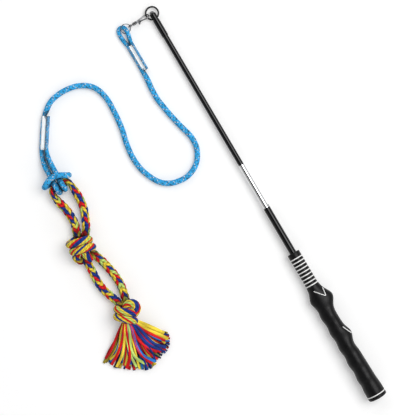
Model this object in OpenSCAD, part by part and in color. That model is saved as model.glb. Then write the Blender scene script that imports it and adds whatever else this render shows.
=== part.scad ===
// Dog flirt pole: a pull-out pole with a moulded grip, and a cord with a rope toy clipped to its tip.
// The butt's flat end is at the origin, +Y runs along the pole to the tip and +Z is up.
// The pole lies on its butt and its tip sleeve, and the cord lies beside it, towards -X.

/* [Pole] */
// Length from the butt's flat end to the end of the tip sleeve, pushed in
pole_len = 706; // [680:1:740]
// Place of the base tube's mouth along the pole
mouth_at = 348; // [335:1:365]
// Length of the bright tube that shows above the mouth
bright_show = 78.7; // [60:0.1:100]
// Distance that the pole pulls out
travel = 140; // [100:1:150]
// Outer radius of the bright tube
bright_r = 4.65; // [4.4:0.05:5]
// Outer radius of the upper tube
upper_r = 4.4; // [4.2:0.05:4.6]
// Wall of the bright tube and the upper tube
tube_wall = 0.5; // [0.4:0.05:0.7]
// Wall of the base tube
base_wall = 0.35; // [0.3:0.05:0.6]
// Wall of the mouth bush
bush_wall = 0.42; // [0.3:0.02:0.6]
// Length of the mouth bush
mouth_bush_len = 36; // [24:1:44]
// Length of the guide bush that runs in the base tube
guide_len = 10; // [6:1:16]
// Length of each plug that is pushed into a tube
plug_len = 14; // [8:1:20]
// Radius of the stop pip on the bright tube
pip_r = 2.2; // [1.6:0.1:2.6]
// Height of the stop pip above the bright tube
pip_h = 1.2; // [0.8:0.1:1.6]

/* [Grip] */
// Length from the butt's flat end to the top of the neck
grip_top = 265; // [255:1:285]
// Length of the ringed neck
neck_len = 60; // [58:1:66]
// Radius of the butt
butt_r = 15.5; // [14:0.1:18]
// Rubber wall of the neck over the base tube
neck_wall = 4.7; // [4:0.1:5.5]
// Step from the hand part to the neck
neck_step = 0.4; // [0.2:0.1:0.8]
// Length of the end cap
cap_len = 6; // [5:0.5:8]
// Rounding of the end cap's edge
cap_round = 3; // [1:0.5:4]
// Length of the ring above the end cap
butt_ring_len = 1.6; // [1:0.1:2.5]
// Radius of the side that the fingers close on
finger_r = 14.2; // [12.5:0.1:14.5]
// Height of the finger waves
finger_wave = 0.8; // [0.3:0.1:1.2]
// Distance between the finger waves
finger_pitch = 28.1; // [24:0.1:32]
// Swell beside the thumb
thumb_swell = 4.6; // [2:0.1:5.5]
// Place of the thumb swell along the pole
thumb_at = 113; // [100:1:124]
// Swell over the index finger
index_swell = 9.6; // [6:0.1:10.5]
// Place of the index swell along the pole
index_at = 178.5; // [172:0.5:184]
// Number of rings let into the neck
ring_count = 9; // [5:1:9]
// Distance between the neck rings
ring_pitch = 6.04; // [5.6:0.02:6.2]
// Width of a neck ring
ring_w = 1.8; // [1.2:0.1:2.4]
// Depth of a neck ring
ring_depth = 0.9; // [0.6:0.1:1.4]

/* [Tip] */
// Length of the tip sleeve
sleeve_len = 41.6; // [34:0.1:50]
// Wall of the tip sleeve
sleeve_wall = 0.8; // [0.6:0.05:1.2]
// Rounding of the tip sleeve's end
sleeve_round = 2; // [1:0.1:2.5]
// Distance of the cross hole from the sleeve's end
hole_back = 9; // [8:0.1:11]
// Radius of the cross hole
hole_r = 2.6; // [2.4:0.05:2.8]
// Radius of the bright end plug's dome
dome_r = 3.5; // [3:0.1:4]
// Radius of the tip ring at the middle of its wire
tip_ring_r = 10.2; // [10:0.1:11]
// Radius of the tip ring's wire
tip_wire_r = 1.4; // [1.2:0.05:1.5]

/* [Clasp] */
// Radius of the hook at the middle of its wire
hook_r = 4.8; // [4.7:0.1:5]
// Radius of the hook's wire
hook_wire_r = 1.05; // [0.9:0.05:1.1]
// Tilt of the hook's plane as the clasp lies
hook_tilt = 45; // [40:1:50]
// Distance from the hook's centre to the gate's pivot
pivot_back = 12.5; // [11.5:0.1:13.5]
// Distance from the clasp's axis to the gate's pivot
pivot_side = 2; // [1.9:0.05:2.2]
// Radius of the rivet
rivet_r = 0.6; // [0.5:0.05:0.7]
// Radius of the barrel
barrel_r = 2.6; // [2.4:0.1:3]
// Length of the barrel
barrel_len = 7; // [6.5:0.1:8]
// Radius of the swivel's stem
stem_r = 1.05; // [0.9:0.05:1.15]
// Radius of the swivel's eye at the middle of its wire
eye_r = 2.7; // [2.6:0.05:3]
// Radius of the eye's wire
eye_wire_r = 0.95; // [0.8:0.05:1]
// Radius of the cord ring at the middle of its wire
cord_ring_r = 8; // [7.8:0.1:8.2]
// Radius of the cord ring's wire
cord_wire_r = 0.7; // [0.5:0.05:0.8]
// Tilt of the cord ring as it lies
ring_tilt = 33; // [30:1:34]

/* [Cord and toy] */
// Radius of the cord
cord_r = 4.4; // [3.5:0.1:4.5]
// Radius of the cord's doubled end at the ring
eye_cord_r = 3.2; // [2.6:0.1:3.2]
// Radius of the cord's doubled end in the lower sleeve
hitch_cord_r = 3.5; // [3:0.1:3.5]
// Radius of the cord where it is tied to the toy
tied_cord_r = 4.4; // [3.5:0.1:4.4]
// Wall of the clear sleeves
shrink_wall = 0.5; // [0.3:0.1:0.8]
// Radius of the toy's rope
rope_r = 6.8; // [6:0.1:6.8]
// Radius of the toy's rope where the cord is tied on
tied_rope_r = 5.5; // [5:0.1:5.5]
// Radius of the toy's middle knot
middle_knot_r = 22.5; // [18:0.1:23.5]
// Length of the toy's middle knot
middle_knot_len = 42; // [36:1:46]
// Radius of the toy's end knot
end_knot_r = 22.5; // [18:0.1:23.5]
// Length of the toy's end knot
end_knot_len = 37; // [30:1:40]
// Number of wraps that show on a knot
knot_wraps = 5; // [3:2:7]
// Depth of the grooves between the wraps
wrap_depth = 2.2; // [1:0.1:3]
// Mean length of the tassel's yarn
tassel_len = 84; // [75:1:95]
// Unevenness of the yarn's cut ends
tassel_uneven = 6; // [2:0.5:10]
// Number of locks in the tassel
lock_count = 17; // [9:1:21]

/* [Hidden] */
$fn = 64;

// Gap of a glued or pushed-in piece, of a running one and of pieces that only meet, and overrun of cuts
slip = 0.05;
run_gap = 0.08;
clear_gap = 0.3;
over = 1;

// Tube bores and the sizes that follow from them
bright_bore_r = bright_r - tube_wall;
upper_bore_r = upper_r - tube_wall;
bush_bore_r = bright_r + run_gap;
base_bore_r = bush_bore_r + bush_wall + slip;
base_r = base_bore_r + base_wall;
sleeve_bore_r = upper_r + slip;
sleeve_r = sleeve_bore_r + sleeve_wall;
neck_r = base_r + slip + neck_wall;

// Places along the pole
plug_seat = 4.4;
stop_room = 0.5;
end_web = 6;
tip_web = 1.4;
dome_h = 4;
grip_low = cap_len + butt_ring_len;
base_low = grip_low + plug_seat;
neck_at = grip_top - neck_len;
bright_low = mouth_at - mouth_bush_len - travel - stop_room;
bright_top = mouth_at + bright_show;
sleeve_low = pole_len - sleeve_len;
hole_at = pole_len - hole_back;
upper_top = hole_at - hole_r - end_web;
dome_low = hole_at + hole_r + tip_web;

// The pole lies on the foot of the grip and on the end of the tip sleeve
rest_low = grip_low;
rest_high = pole_len - sleeve_round;
lie_angle = atan2(butt_r - sleeve_r, rest_high - rest_low);
floor_z = -butt_r * cos(lie_angle) - rest_low * sin(lie_angle);

// Cap: the boss inside the ring, and the depth of the ring's seat
boss_wall = 4.3;
boss_r = base_r + slip + boss_wall;
butt_ring_inset = 0.25;
edge_chamfer = 0.6;

// Hand part of the grip: places and widths of the swells
finger_first = 39;
finger_from = 16;
finger_until = 180;
finger_lead = 20;
palm_hollow = 0.9;
index_w = 14.5;
thumb_w = 11;
thumb_hollow = 1.3;
hollow_back = 19;
hollow_w = 10;
index_side = 5.6;
index_side_on = 3.2;
index_side_w = 11;
index_lift = 0.8;
thumb_lift = 0.5;
top_wave = 0.4;
grip_step = 4.2;
grip_sides = 36;
neck_round = 1;
ring_first = 2;
neck_root = 8;

// Cross hole's flared mouths
flare_depth = 2;
flare = 1.4;
flare_r = hole_r + flare;

// Tip ring: its wire lies at the back of the hole
hole_p = on_pole(hole_at);
ring_slack = 0.6;
tip_ring_p = hole_p + [0, tip_ring_r - ring_slack, 0];

// Clasp: its hook hangs on the tip ring, with its own X along the clasp, Y across and Z through the plate
hook_pull = 0.9;
hook_p = tip_ring_p - [tip_ring_r + hook_pull, 0, 0];
hook_from = -110;
hook_to = 105;
spine_len = 19.4;
spine_step = 0.15;
spine_r = 1.6;
barrel_back = 17.5;
barrel_lip = 2.5;
barrel_bore_r = stem_r + slip;
pocket_r = 1.75;
pocket_len = 1.6;
barrel_edge = 0.5;
ear_gap = 0.95;
ear_t = 0.8;
ear_r = 1.8;
ear_w = 3;
ear_h = 3.9;
pivot_p = [-pivot_back, -pivot_side, 0];
rivet_head_r = 1.1;
rivet_head_t = 0.35;
hub_r = 1.7;
hub_low = -0.85;
hub_high = 0.2;
gate_root = 2.2;
gate_root_r = 1.2;
gate_tip_r = 1.05;
gate_web = 2;
gate_gap = 0.3;
tab_angle = 241;
tab_reach = 3.9;
tab_r = 1.3;
tab_half_w = 2;
coil_r = 1.15;
coil_wire_r = 0.25;
coil_at = 0.55;
coil_leg = gate_root - coil_r;
coil_leg_r = 0.18;

// Gate: it runs from its pivot to just short of the hook's end
hook_end = hook_r * [cos(hook_from), sin(hook_from), 0];
gate_end = hook_end + gate_gap * [sin(hook_from), -cos(hook_from), 0];
gate_len = norm(gate_end - pivot_p);
gate_angle = atan2(gate_end.y - pivot_p.y, gate_end.x - pivot_p.x);

// Swivel: a headed stem that turns in the barrel, with an eye behind it
head_r = 1.45;
head_t = 1.2;
head_gap = 0.1;
eye_room = 0.8;
stem_low = barrel_back + barrel_len - barrel_lip - head_gap - head_t;
eye_at = barrel_back + barrel_len + eye_room + eye_wire_r + eye_r;

// Cord ring: its wire hangs in the swivel's eye
eye_pull = 0.55;
cord_ring_p = hook_p - [eye_at + eye_pull + cord_ring_r, 0, 0];

// Routes of the cord and of the toy's rope: X and Y from the cord ring's centre, Z above the ground
eye_route = [[-4.2, -72, 3.9], [-4.2, -27, 3.9], [-3.2, -19, 4.3], [-1.5, -12, 5.3], [-0.6, -6.5, 5.9],
    [-0.6, -1.5, 5.2], [-1.2, 2, 4.3], [-3.4, 4.3, 3.5], [-6.6, 5.2, 3.3], [-9.8, 4.3, 3.3],
    [-12.2, 1.5, 3.4], [-13.2, -3, 3.5], [-13.2, -8.5, 3.6], [-12.6, -15, 3.7], [-11.6, -21, 3.8],
    [-10.8, -27, 3.9], [-10.8, -72, 3.9]];
run_route = [[-11, -72, 4.5], [-11, -86, 4.5], [-13, -105, 4.5], [-13, -123, 4.5], [-10, -144, 4.5],
    [-6, -165, 4.5], [-1, -185, 4.5], [3, -203, 4.5], [1, -221, 4.5], [-7, -236, 4.5],
    [-20, -247, 4.5], [-36, -252, 4.5], [-52, -251, 4.5], [-66, -246, 4.5], [-77, -237, 4.5],
    [-86, -222, 4.5], [-92, -204, 4.5], [-94, -185, 4.5], [-92, -162, 4.5], [-86, -135, 4.5],
    [-83, -111, 4.5], [-82, -84, 4.5], [-86, -64, 4.5], [-95, -50, 4.5], [-108, -42, 4.5],
    [-121, -38, 4.5], [-142, -37, 4.5], [-162, -39, 4.5], [-172, -42, 4.5], [-179, -47, 4.5],
    [-183, -53, 4.5]];
// Hitch: two leads, a turn round the rope on each side, and a bight across the front of both leads
tie_y = -161;
tie_h = 15.2;
tied_reach = 15;
turn_from = 80;
turn_step = 30;
turn_x = [-210.8, -210.8, -210.8, -210.8, -210.8, -210.6, -209.6, -207.6];
turn_r = (tied_rope_r + tied_cord_r + clear_gap) / cos(turn_step / 2);
hitch_lead = [[-177, -57, 4.5], [-207, -102, 4.5], [-209.2, -114, 6.2], [-211, -126, 10.5], [-211, -138, 16]];
hitch_turn = concat([[-211, -149, 22.2]],
    [for (i = [0 : len(turn_x) - 1]) round_bar(turn_x[i], turn_from + i * turn_step)],
    [[-203.5, -153.8, 6.8], [-197.6, -153.2, 13.5], [-196, -152.6, 20.5], [-200, -150, 27.5],
        [-208, -148, 31.5]]);
hitch_top = [-216, -147.6, 31.8];
hitch_tail = [[-221, -138, 16], [-221, -126, 10.5], [-219, -112.5, 6.2], [-213, -98, 4.5], [-183, -53, 4.5]];
hitch_full_from = -102;
hitch_full_len = 22;
hitch_back = [for (i = [len(hitch_turn) - 1 : -1 : 0]) across(hitch_turn[i], hitch_top.x)];
hitch_route = concat(hitch_lead, hitch_turn, [hitch_top], hitch_back, hitch_tail);

// Toy: its rope, knots and tassel
loop_route = [[-233, -248, 14], [-230, -238, 10], [-226.5, -226, 7.4], [-226, -212, 7.2], [-227, -199, 7.4],
    [-229.8, -187, 9.5], [-232.3, -172, 13], [-230.6, -164.8, 15.1], [-226, tie_y, tie_h],
    [-216, tie_y, tie_h], [-206, tie_y, tie_h], [-201.4, -164.5, 15.1], [-199.6, -172, 13],
    [-199.3, -187, 9.5], [-199.8, -200, 7.4], [-202, -212, 7.2], [-205.5, -222, 7.4], [-210, -233, 9],
    [-215, -243, 12], [-222, -252, 16]];
left_leg_route = [[-240, -279, 13], [-240.5, -300, 7.6], [-241.8, -320, 7.2], [-240.5, -338, 7.6],
    [-236, -352, 9], [-231, -365, 13], [-227, -377, 18]];
right_leg_route = [[-226, -278, 13], [-218.6, -301, 7.6], [-213.8, -325, 7.2], [-212.6, -345, 8],
    [-215, -360, 11], [-218, -374, 16]];
middle_knot_place = [-234.5, -264, middle_knot_r + clear_gap];
end_knot_place = [-223.5, -385.5, end_knot_r + clear_gap];
tassel_place = [-230, -393, 0];
middle_knot_turn = -100;
end_knot_turn = -135;
cord_sides = 10;
thin_cord_sides = 8;
rope_sides = 12;

// Sleeves: a flat pair of strands inside a clear skin
sleeve_gap = 0.1;
eye_last = len(eye_route) - 1;
tail_last = len(hitch_tail) - 1;
upper_sleeve_ends = [middle(eye_route[1], eye_route[eye_last - 1]),
    middle(eye_route[0], eye_route[eye_last])];
lower_sleeve_ends = [middle(hitch_lead[0], hitch_tail[tail_last]),
    middle(hitch_lead[1], hitch_tail[tail_last - 1])];
upper_half_gap = norm(eye_route[0] - eye_route[eye_last]) / 2;
lower_half_gap = norm(hitch_lead[0] - hitch_tail[tail_last]) / 2;

// Tassel: a fan of yarn, thick where it leaves the knot and thin at its cut ends
tassel_from = 212;
tassel_until = 309;
tassel_root_r = 5;
tassel_root_t = 25;
tassel_end_t = 7;
tassel_root_lift = 6;
lie_gap = 0.3;
tassel_rows = 5;
lock_dip_share = 0.25;
thin_power = 0.6;
golden_turn = 137.5;

// Knots: their ends, as a share of their radius
knot_end_share = 0.5;
knot_steps = 40;

// A point on the pole's axis
function on_pole(at) = [0, at * cos(lie_angle), -at * sin(lie_angle)];

// A point of the cord or the toy, from the cord ring's centre and the ground
function on_ground(p) = [cord_ring_p.x + p.x, cord_ring_p.y + p.y, floor_z + p.z];

// A point mirrored about a line along Y
function across(p, middle) = [2 * middle - p.x, p.y, p.z];

// A point of the cord's turn round the tied rope
function round_bar(x, a) = [x, tie_y + turn_r * cos(a), tie_h + turn_r * sin(a)];

// Radius of the cord's doubled end, squeezed in the sleeve and full beyond it
function hitch_radius(y) = hitch_cord_r
    + (tied_cord_r - hitch_cord_r) * ease((hitch_full_from - y) / hitch_full_len);

// The point half-way between two points
function middle(p, q) = (p + q) / 2;

// Curves that the grip is drawn with
function ease(u) = let (c = min(1, max(0, u))) c * c * (3 - 2 * c);
function swell(at, middle, width) = exp(-pow((at - middle) / width, 2));
function held(at) = ease((at - finger_from) / finger_lead) * ease((finger_until - at) / finger_lead);
function wave(at) = cos(360 * (at - finger_first) / finger_pitch);
function taper(at) = butt_r + (neck_r + neck_step - butt_r) * (at - grip_low) / (neck_at - grip_low);

// Reach of the grip to its four sides
function finger_side(at) = taper(at) + held(at) * (finger_r + finger_wave * wave(at) - taper(at))
    + index_side * swell(at, index_at + index_side_on, index_side_w);
function palm_side(at) = taper(at) - palm_hollow * held(at) + thumb_swell * swell(at, thumb_at, thumb_w)
    - thumb_hollow * swell(at, thumb_at - hollow_back, hollow_w)
    + index_swell * swell(at, index_at, index_w);
function top_side(at) = taper(at) + top_wave * held(at) * wave(at) + index_lift * swell(at, index_at, index_w)
    + thumb_lift * swell(at, thumb_at, thumb_w);
function grip_point(at, a) = [cos(a) * (cos(a) > 0 ? palm_side(at) : finger_side(at)),
    sin(a) * (sin(a) > 0 ? taper(at) : top_side(at)), at];
function grip_ring(at) = [for (k = [0 : grip_sides - 1]) grip_point(at, 360 * k / grip_sides)];

// Directions along a route, and a normal carried along it without twist
function unit(v) = v / norm(v);
function headings(p) = let (last = len(p) - 1)
    [for (i = [0 : last]) unit(p[min(i + 1, last)] - p[max(i - 1, 0)])];
function square_to(n, d) = unit(n - (n * d) * d);
function carried(d, i, n) = i == len(d) ? [] :
    let (m = square_to(n, d[i])) concat([m], carried(d, i + 1, m));

// Rings of a tube along a route, with one radius for each point
function tube_rings(route, radii, sides) = let (d = headings(route), n = carried(d, 0, [0, 0, 1]))
    [for (i = [0 : len(route) - 1]) let (b = cross(d[i], n[i]))
        [for (k = [0 : sides - 1]) let (a = 360 * (k + 0.5) / sides)
            route[i] + radii[i] * (cos(a) * n[i] + sin(a) * b)]];
function even(route, r) = [for (p = route) r];
function grounded(route) = [for (p = route) on_ground(p)];

// Profile of a knot: rounded, with a groove between the wraps
function knot_radius(u, r) = r * (knot_end_share + (1 - knot_end_share) * sqrt(1 - u * u))
    - wrap_depth * (1 - abs(sin(90 * knot_wraps * (u + 1))));
function knot_profile(r, length) = concat([[0, -length / 2]],
    [for (i = [0 : knot_steps]) let (u = 2 * i / knot_steps - 1) [knot_radius(u, r), u * length / 2]],
    [[0, length / 2]]);

// Tassel: one upright slice of the fan for each side of a lock
function yarn_reach(i) = tassel_len + tassel_uneven * sin(golden_turn * i);
function yarn_low(s) = lie_gap + tassel_root_lift * pow(1 - s, 2);
function yarn_thick(s, i) = (tassel_root_t + (tassel_end_t - tassel_root_t) * pow(s, thin_power))
    * (1 - lock_dip_share * (i % 2));
function yarn_point(i, s, h) = let (a = tassel_from + (tassel_until - tassel_from) * i / (2 * lock_count),
        out = tassel_root_r + (yarn_reach(floor(i / 2)) - tassel_root_r) * s)
    on_ground(tassel_place + [out * cos(a), out * sin(a), h]);
function yarn_ring(i) = concat(
    [for (j = [0 : tassel_rows]) let (s = j / tassel_rows) yarn_point(i, s, yarn_low(s) + yarn_thick(s, i))],
    [for (j = [tassel_rows : -1 : 0]) let (s = j / tassel_rows) yarn_point(i, s, yarn_low(s))]);

// Stands a shape that is drawn along Z along the pole, with its own +Y downwards
module along_pole() rotate([-90 - lie_angle, 0, 0]) children();

// Draws in the clasp's own plane
module in_clasp() translate(hook_p) rotate([-hook_tilt, 0, 0]) children();

// Lays a shape that is drawn along Z along X
module along_x() rotate([0, 90, 0]) children();

// Solid through a row of like rings of points
module loft(rings) {
    n = len(rings[0]);
    last = len(rings) - 1;
    start_cap = [for (k = [0 : n - 1]) k];
    end_cap = [for (k = [n - 1 : -1 : 0]) last * n + k];
    sides = [for (i = [0 : last - 1], k = [0 : n - 1]) let (a = i * n + k, b = i * n + (k + 1) % n)
        each [[a, a + n, b + n], [a, b + n, b]]];
    polyhedron(points = [for (ring = rings) each ring],
        faces = concat([start_cap, end_cap], sides), convexity = 10);
}

// Round tube of cord or rope along a route on the ground
module cord_tube(route, r, sides) loft(tube_rings(grounded(route), even(route, r), sides));

// Tube or bush between two places along the pole
module pipe(from, until, outer, inner) translate([0, 0, from]) difference() {
    cylinder(r = outer, h = until - from);
    translate([0, 0, -over]) cylinder(r = inner, h = until - from + 2 * over);
}

// Round bar between two places along the pole
module bar(from, until, r) translate([0, 0, from]) cylinder(r = r, h = until - from);

// Flat-sided ring
module hoop(at, width, outer, inner) translate([0, 0, at]) rotate_extrude()
    translate([inner, 0]) square([outer - inner, width]);

// Round wire bent to a full circle
module wire_ring(r, wire) rotate_extrude() translate([r, 0]) circle(wire);

module grip_sleeve() color("#1c1c1e") along_pole() difference() {
    union() {
        loft([for (i = [0 : ceil((neck_at - grip_low) / grip_step)])
            grip_ring(min(neck_at, grip_low + i * grip_step))]);
        translate([0, 0, neck_at - neck_root]) rotate_extrude() neck_half();
    }
    bar(grip_low - over, grip_top + over, base_r + slip);
    for (i = [0 : ring_count - 1])
        hoop(ring_place(i), ring_w, neck_r + over, neck_r - ring_depth);
}

// Half section of the neck, with a rounded top edge
module neck_half() {
    top = neck_root + neck_len;
    square([neck_r - neck_round, top]);
    square([neck_r, top - neck_round]);
    translate([neck_r - neck_round, top - neck_round]) circle(neck_round);
}

function ring_place(i) = neck_at + ring_first + i * ring_pitch - ring_w / 2;

module neck_rings() color("whitesmoke") along_pole() for (i = [0 : ring_count - 1])
    hoop(ring_place(i) + slip, ring_w - 2 * slip, neck_r, neck_r - ring_depth + slip);

module butt_ring() color("whitesmoke") along_pole()
    hoop(cap_len, butt_ring_len, butt_r - butt_ring_inset, boss_r + slip);

module butt_cap() color("#1c1c1e") along_pole() {
    rotate_extrude() {
        square([butt_r - cap_round, cap_len]);
        translate([0, cap_round]) square([butt_r, cap_len - cap_round]);
        translate([butt_r - cap_round, cap_round]) circle(cap_round);
    }
    bar(cap_len, grip_low, boss_r);
    bar(grip_low, base_low, base_r);
}

module base_tube() color("#151517") along_pole() pipe(base_low, mouth_at, base_r, base_bore_r);

module butt_plug() color("dimgray") along_pole() {
    bar(base_low, base_low + plug_len - edge_chamfer, base_bore_r - slip);
    translate([0, 0, base_low + plug_len - edge_chamfer])
        cylinder(r1 = base_bore_r - slip, r2 = base_bore_r - slip - edge_chamfer, h = edge_chamfer);
}

module mouth_bush() color("dimgray") along_pole()
    pipe(mouth_at - mouth_bush_len, mouth_at, base_bore_r - slip, bush_bore_r);

module chrome_tube() color("silver") along_pole() difference() {
    union() {
        bar(bright_low, bright_top, bright_r);
        translate([0, 0, mouth_at + clear_gap + pip_r]) along_x() stop_pip();
    }
    bar(bright_low - over, bright_top + over, bright_bore_r);
}

// Raised pip on one side of the bright tube, which stops on the base tube's mouth
module stop_pip() {
    cylinder(r = pip_r, h = bright_r + pip_h / 2);
    translate([0, 0, bright_r + pip_h / 2]) cylinder(r1 = pip_r, r2 = pip_r - pip_h / 2, h = pip_h / 2);
}

module guide_bush() color("dimgray") along_pole() {
    bar(bright_low - guide_len, bright_low, base_bore_r - run_gap);
    bar(bright_low, bright_low + plug_len, bright_bore_r - slip);
}

module upper_tube() color("#151517") along_pole() pipe(bright_top, upper_top, upper_r, upper_bore_r);

module joint_spigot() color("gray") along_pole() {
    bar(bright_top - plug_len, bright_top, bright_bore_r - slip);
    bar(bright_top, bright_top + plug_len, upper_bore_r - slip);
}

module tip_sleeve() color("#151517") along_pole() difference() {
    translate([0, 0, sleeve_low]) rotate_extrude() {
        square([sleeve_r, sleeve_len - sleeve_round]);
        square([sleeve_r - sleeve_round, sleeve_len]);
        translate([sleeve_r - sleeve_round, sleeve_len - sleeve_round]) circle(sleeve_round);
    }
    bar(sleeve_low - over, upper_top + slip, sleeve_bore_r);
    bar(dome_low, pole_len + over, dome_r + slip);
    translate([0, 0, hole_at]) {
        along_x() cylinder(r = hole_r, h = 2 * (sleeve_r + over), center = true);
        for (side = [0, 180]) rotate([0, 0, side]) along_x() translate([0, 0, sleeve_r - flare_depth])
            cylinder(r1 = hole_r, r2 = flare_r, h = flare_depth + clear_gap);
    }
}

module tip_plug() color("silver") along_pole() {
    bar(dome_low, pole_len, dome_r);
    translate([0, 0, pole_len]) rotate_extrude() intersection() {
        translate([0, (dome_h * dome_h - dome_r * dome_r) / (2 * dome_h)])
            circle((dome_h * dome_h + dome_r * dome_r) / (2 * dome_h));
        square([dome_r, dome_h]);
    }
}

module tip_ring() color("#151517") translate(tip_ring_p) wire_ring(tip_ring_r, tip_wire_r);

module clasp_body() color("silver") in_clasp() difference() {
    union() {
        rotate([0, 0, hook_from]) rotate_extrude(angle = hook_to - hook_from)
            translate([hook_r, 0]) circle(hook_wire_r);
        translate(hook_r * [cos(hook_to), sin(hook_to), 0]) rotate([0, 0, hook_to + 90]) along_x()
            cylinder(r1 = hook_wire_r + spine_step, r2 = spine_r, h = spine_len);
        translate([-barrel_back - barrel_len, 0, 0]) along_x() rotate_extrude() barrel_half();
        for (z = [-ear_gap - ear_t, ear_gap]) translate(pivot_p + [0, 0, z]) ear();
    }
    translate([-barrel_back - barrel_len - over, 0, 0]) along_x() cylinder(r = barrel_bore_r, h = barrel_len);
    translate([-barrel_back - barrel_len + barrel_lip, 0, 0]) along_x()
        cylinder(r = pocket_r, h = pocket_len);
    translate(pivot_p) cylinder(r = rivet_r + slip, h = 2 * (ear_gap + ear_t + over), center = true);
}

// Half section of the barrel, with both edges broken
module barrel_half() polygon([[0, 0], [barrel_r - barrel_edge, 0], [barrel_r, barrel_edge],
    [barrel_r, barrel_len - barrel_edge], [barrel_r - barrel_edge, barrel_len], [0, barrel_len]]);

// One of the two plates that hold the gate's rivet
module ear() linear_extrude(ear_t) {
    circle(ear_r);
    translate([-ear_w / 2, 0]) square([ear_w, ear_h]);
}

module clasp_rivet() color("gainsboro") in_clasp() translate(pivot_p) {
    half = ear_gap + ear_t;
    cylinder(r = rivet_r, h = 2 * half, center = true);
    translate([0, 0, half]) cylinder(r = rivet_head_r, h = rivet_head_t);
    translate([0, 0, -half - rivet_head_t]) cylinder(r = rivet_head_r, h = rivet_head_t);
}

module clasp_spring() color("gray") in_clasp() translate(pivot_p + [0, 0, coil_at]) {
    wire_ring(coil_r, coil_wire_r);
    for (turn = [gate_angle, 90]) rotate([0, 0, turn]) translate([coil_r, 0, 0]) along_x()
        cylinder(r = coil_leg_r, h = coil_leg);
}

module clasp_trigger() color("silver") in_clasp() translate(pivot_p) difference() {
    union() {
        translate([0, 0, hub_low]) cylinder(r = hub_r, h = hub_high - hub_low);
        rotate([0, 0, gate_angle]) {
            translate([0, -gate_web / 2, hub_low])
                cube([gate_root + gate_web / 2, gate_web, hub_high - hub_low]);
            translate([gate_root, 0, 0]) along_x()
                cylinder(r1 = gate_root_r, r2 = gate_tip_r, h = gate_len - gate_root);
        }
        rotate([0, 0, tab_angle]) {
            translate([0, -gate_web / 2, hub_low]) cube([tab_reach, gate_web, hub_high - hub_low]);
            translate([tab_reach, 0, 0]) cylinder(r = tab_r, h = 2 * tab_half_w, center = true);
        }
    }
    cylinder(r = rivet_r + slip, h = 2 * ear_gap, center = true);
}

module swivel_eye() color("silver") translate(hook_p) {
    translate([-stem_low - head_t, 0, 0]) along_x() cylinder(r = head_r, h = head_t);
    translate([-eye_at + eye_r, 0, 0]) along_x() cylinder(r = stem_r, h = eye_at - eye_r - stem_low - head_t);
    translate([-eye_at, 0, 0]) rotate([ring_tilt - 90, 0, 0]) wire_ring(eye_r, eye_wire_r);
}

module cord_ring() color("silver") translate(cord_ring_p) rotate([ring_tilt, 0, 0])
    wire_ring(cord_ring_r, cord_wire_r);

module cord_eye() color("deepskyblue") cord_tube(eye_route, eye_cord_r, thin_cord_sides);

module cord_run() color("deepskyblue") cord_tube(run_route, cord_r, cord_sides);

module cord_hitch() color("deepskyblue") loft(tube_rings(grounded(hitch_route),
    [for (p = hitch_route) hitch_radius(p.y)], thin_cord_sides));

// Clear skin round two strands that lie side by side
module shrink(ends, strand_r, half_gap) {
    from = on_ground(ends[0]);
    span = on_ground(ends[1]) - from;
    translate(from) rotate([0, 90, atan2(span.y, span.x)]) linear_extrude(norm(span)) difference() {
        strand_pair(strand_r + sleeve_gap + shrink_wall, half_gap);
        strand_pair(strand_r + sleeve_gap, half_gap);
    }
}

// Outline round two strands
module strand_pair(r, half_gap) hull() for (side = [-1, 1])
    translate([0, side * half_gap]) circle(r, $fn = 32);

module upper_sleeve() color("lightcyan") shrink(upper_sleeve_ends, eye_cord_r, upper_half_gap);

module lower_sleeve() color("lightcyan") shrink(lower_sleeve_ends, hitch_cord_r, lower_half_gap);

module toy_upper_loop() color("gold") loft(tube_rings(grounded(loop_route),
    [for (p = loop_route) p.y > tie_y - tied_reach ? tied_rope_r : rope_r], rope_sides));

module toy_lower_loop() color("royalblue") {
    cord_tube(left_leg_route, rope_r, rope_sides);
    cord_tube(right_leg_route, rope_r, rope_sides);
}

module knot(place, turn, r, length) translate(on_ground(place)) rotate([0, 90, turn])
    rotate_extrude() polygon(knot_profile(r, length));

module toy_middle_knot() color("firebrick")
    knot(middle_knot_place, middle_knot_turn, middle_knot_r, middle_knot_len);

module toy_end_knot() color("gold") knot(end_knot_place, end_knot_turn, end_knot_r, end_knot_len);

module toy_tassel() color("firebrick") loft([for (i = [0 : 2 * lock_count]) yarn_ring(i)]);

grip_sleeve();
neck_rings();
butt_ring();
butt_cap();
base_tube();
butt_plug();
mouth_bush();
chrome_tube();
guide_bush();
upper_tube();
joint_spigot();
tip_sleeve();
tip_plug();
tip_ring();
clasp_body();
clasp_rivet();
clasp_spring();
clasp_trigger();
swivel_eye();
cord_ring();
cord_eye();
upper_sleeve();
cord_run();
lower_sleeve();
cord_hitch();
toy_upper_loop();
toy_middle_knot();
toy_lower_loop();
toy_end_knot();
toy_tassel();
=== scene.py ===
# %% [markdown]
# # A pull-out flirt pole for dogs
# The pole lies flat on a white table and is seen from straight above: a black moulded grip, a tube that
# slides out of it, a ring and a small swivel clasp, a blue braided cord, and a rope toy with two knots and
# a tassel. The rigid metal and plastic comes from the solid model. Here the soft things get their true
# shapes, and everything gets its finish.

# %% Load the solid model
import math
import random

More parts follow.
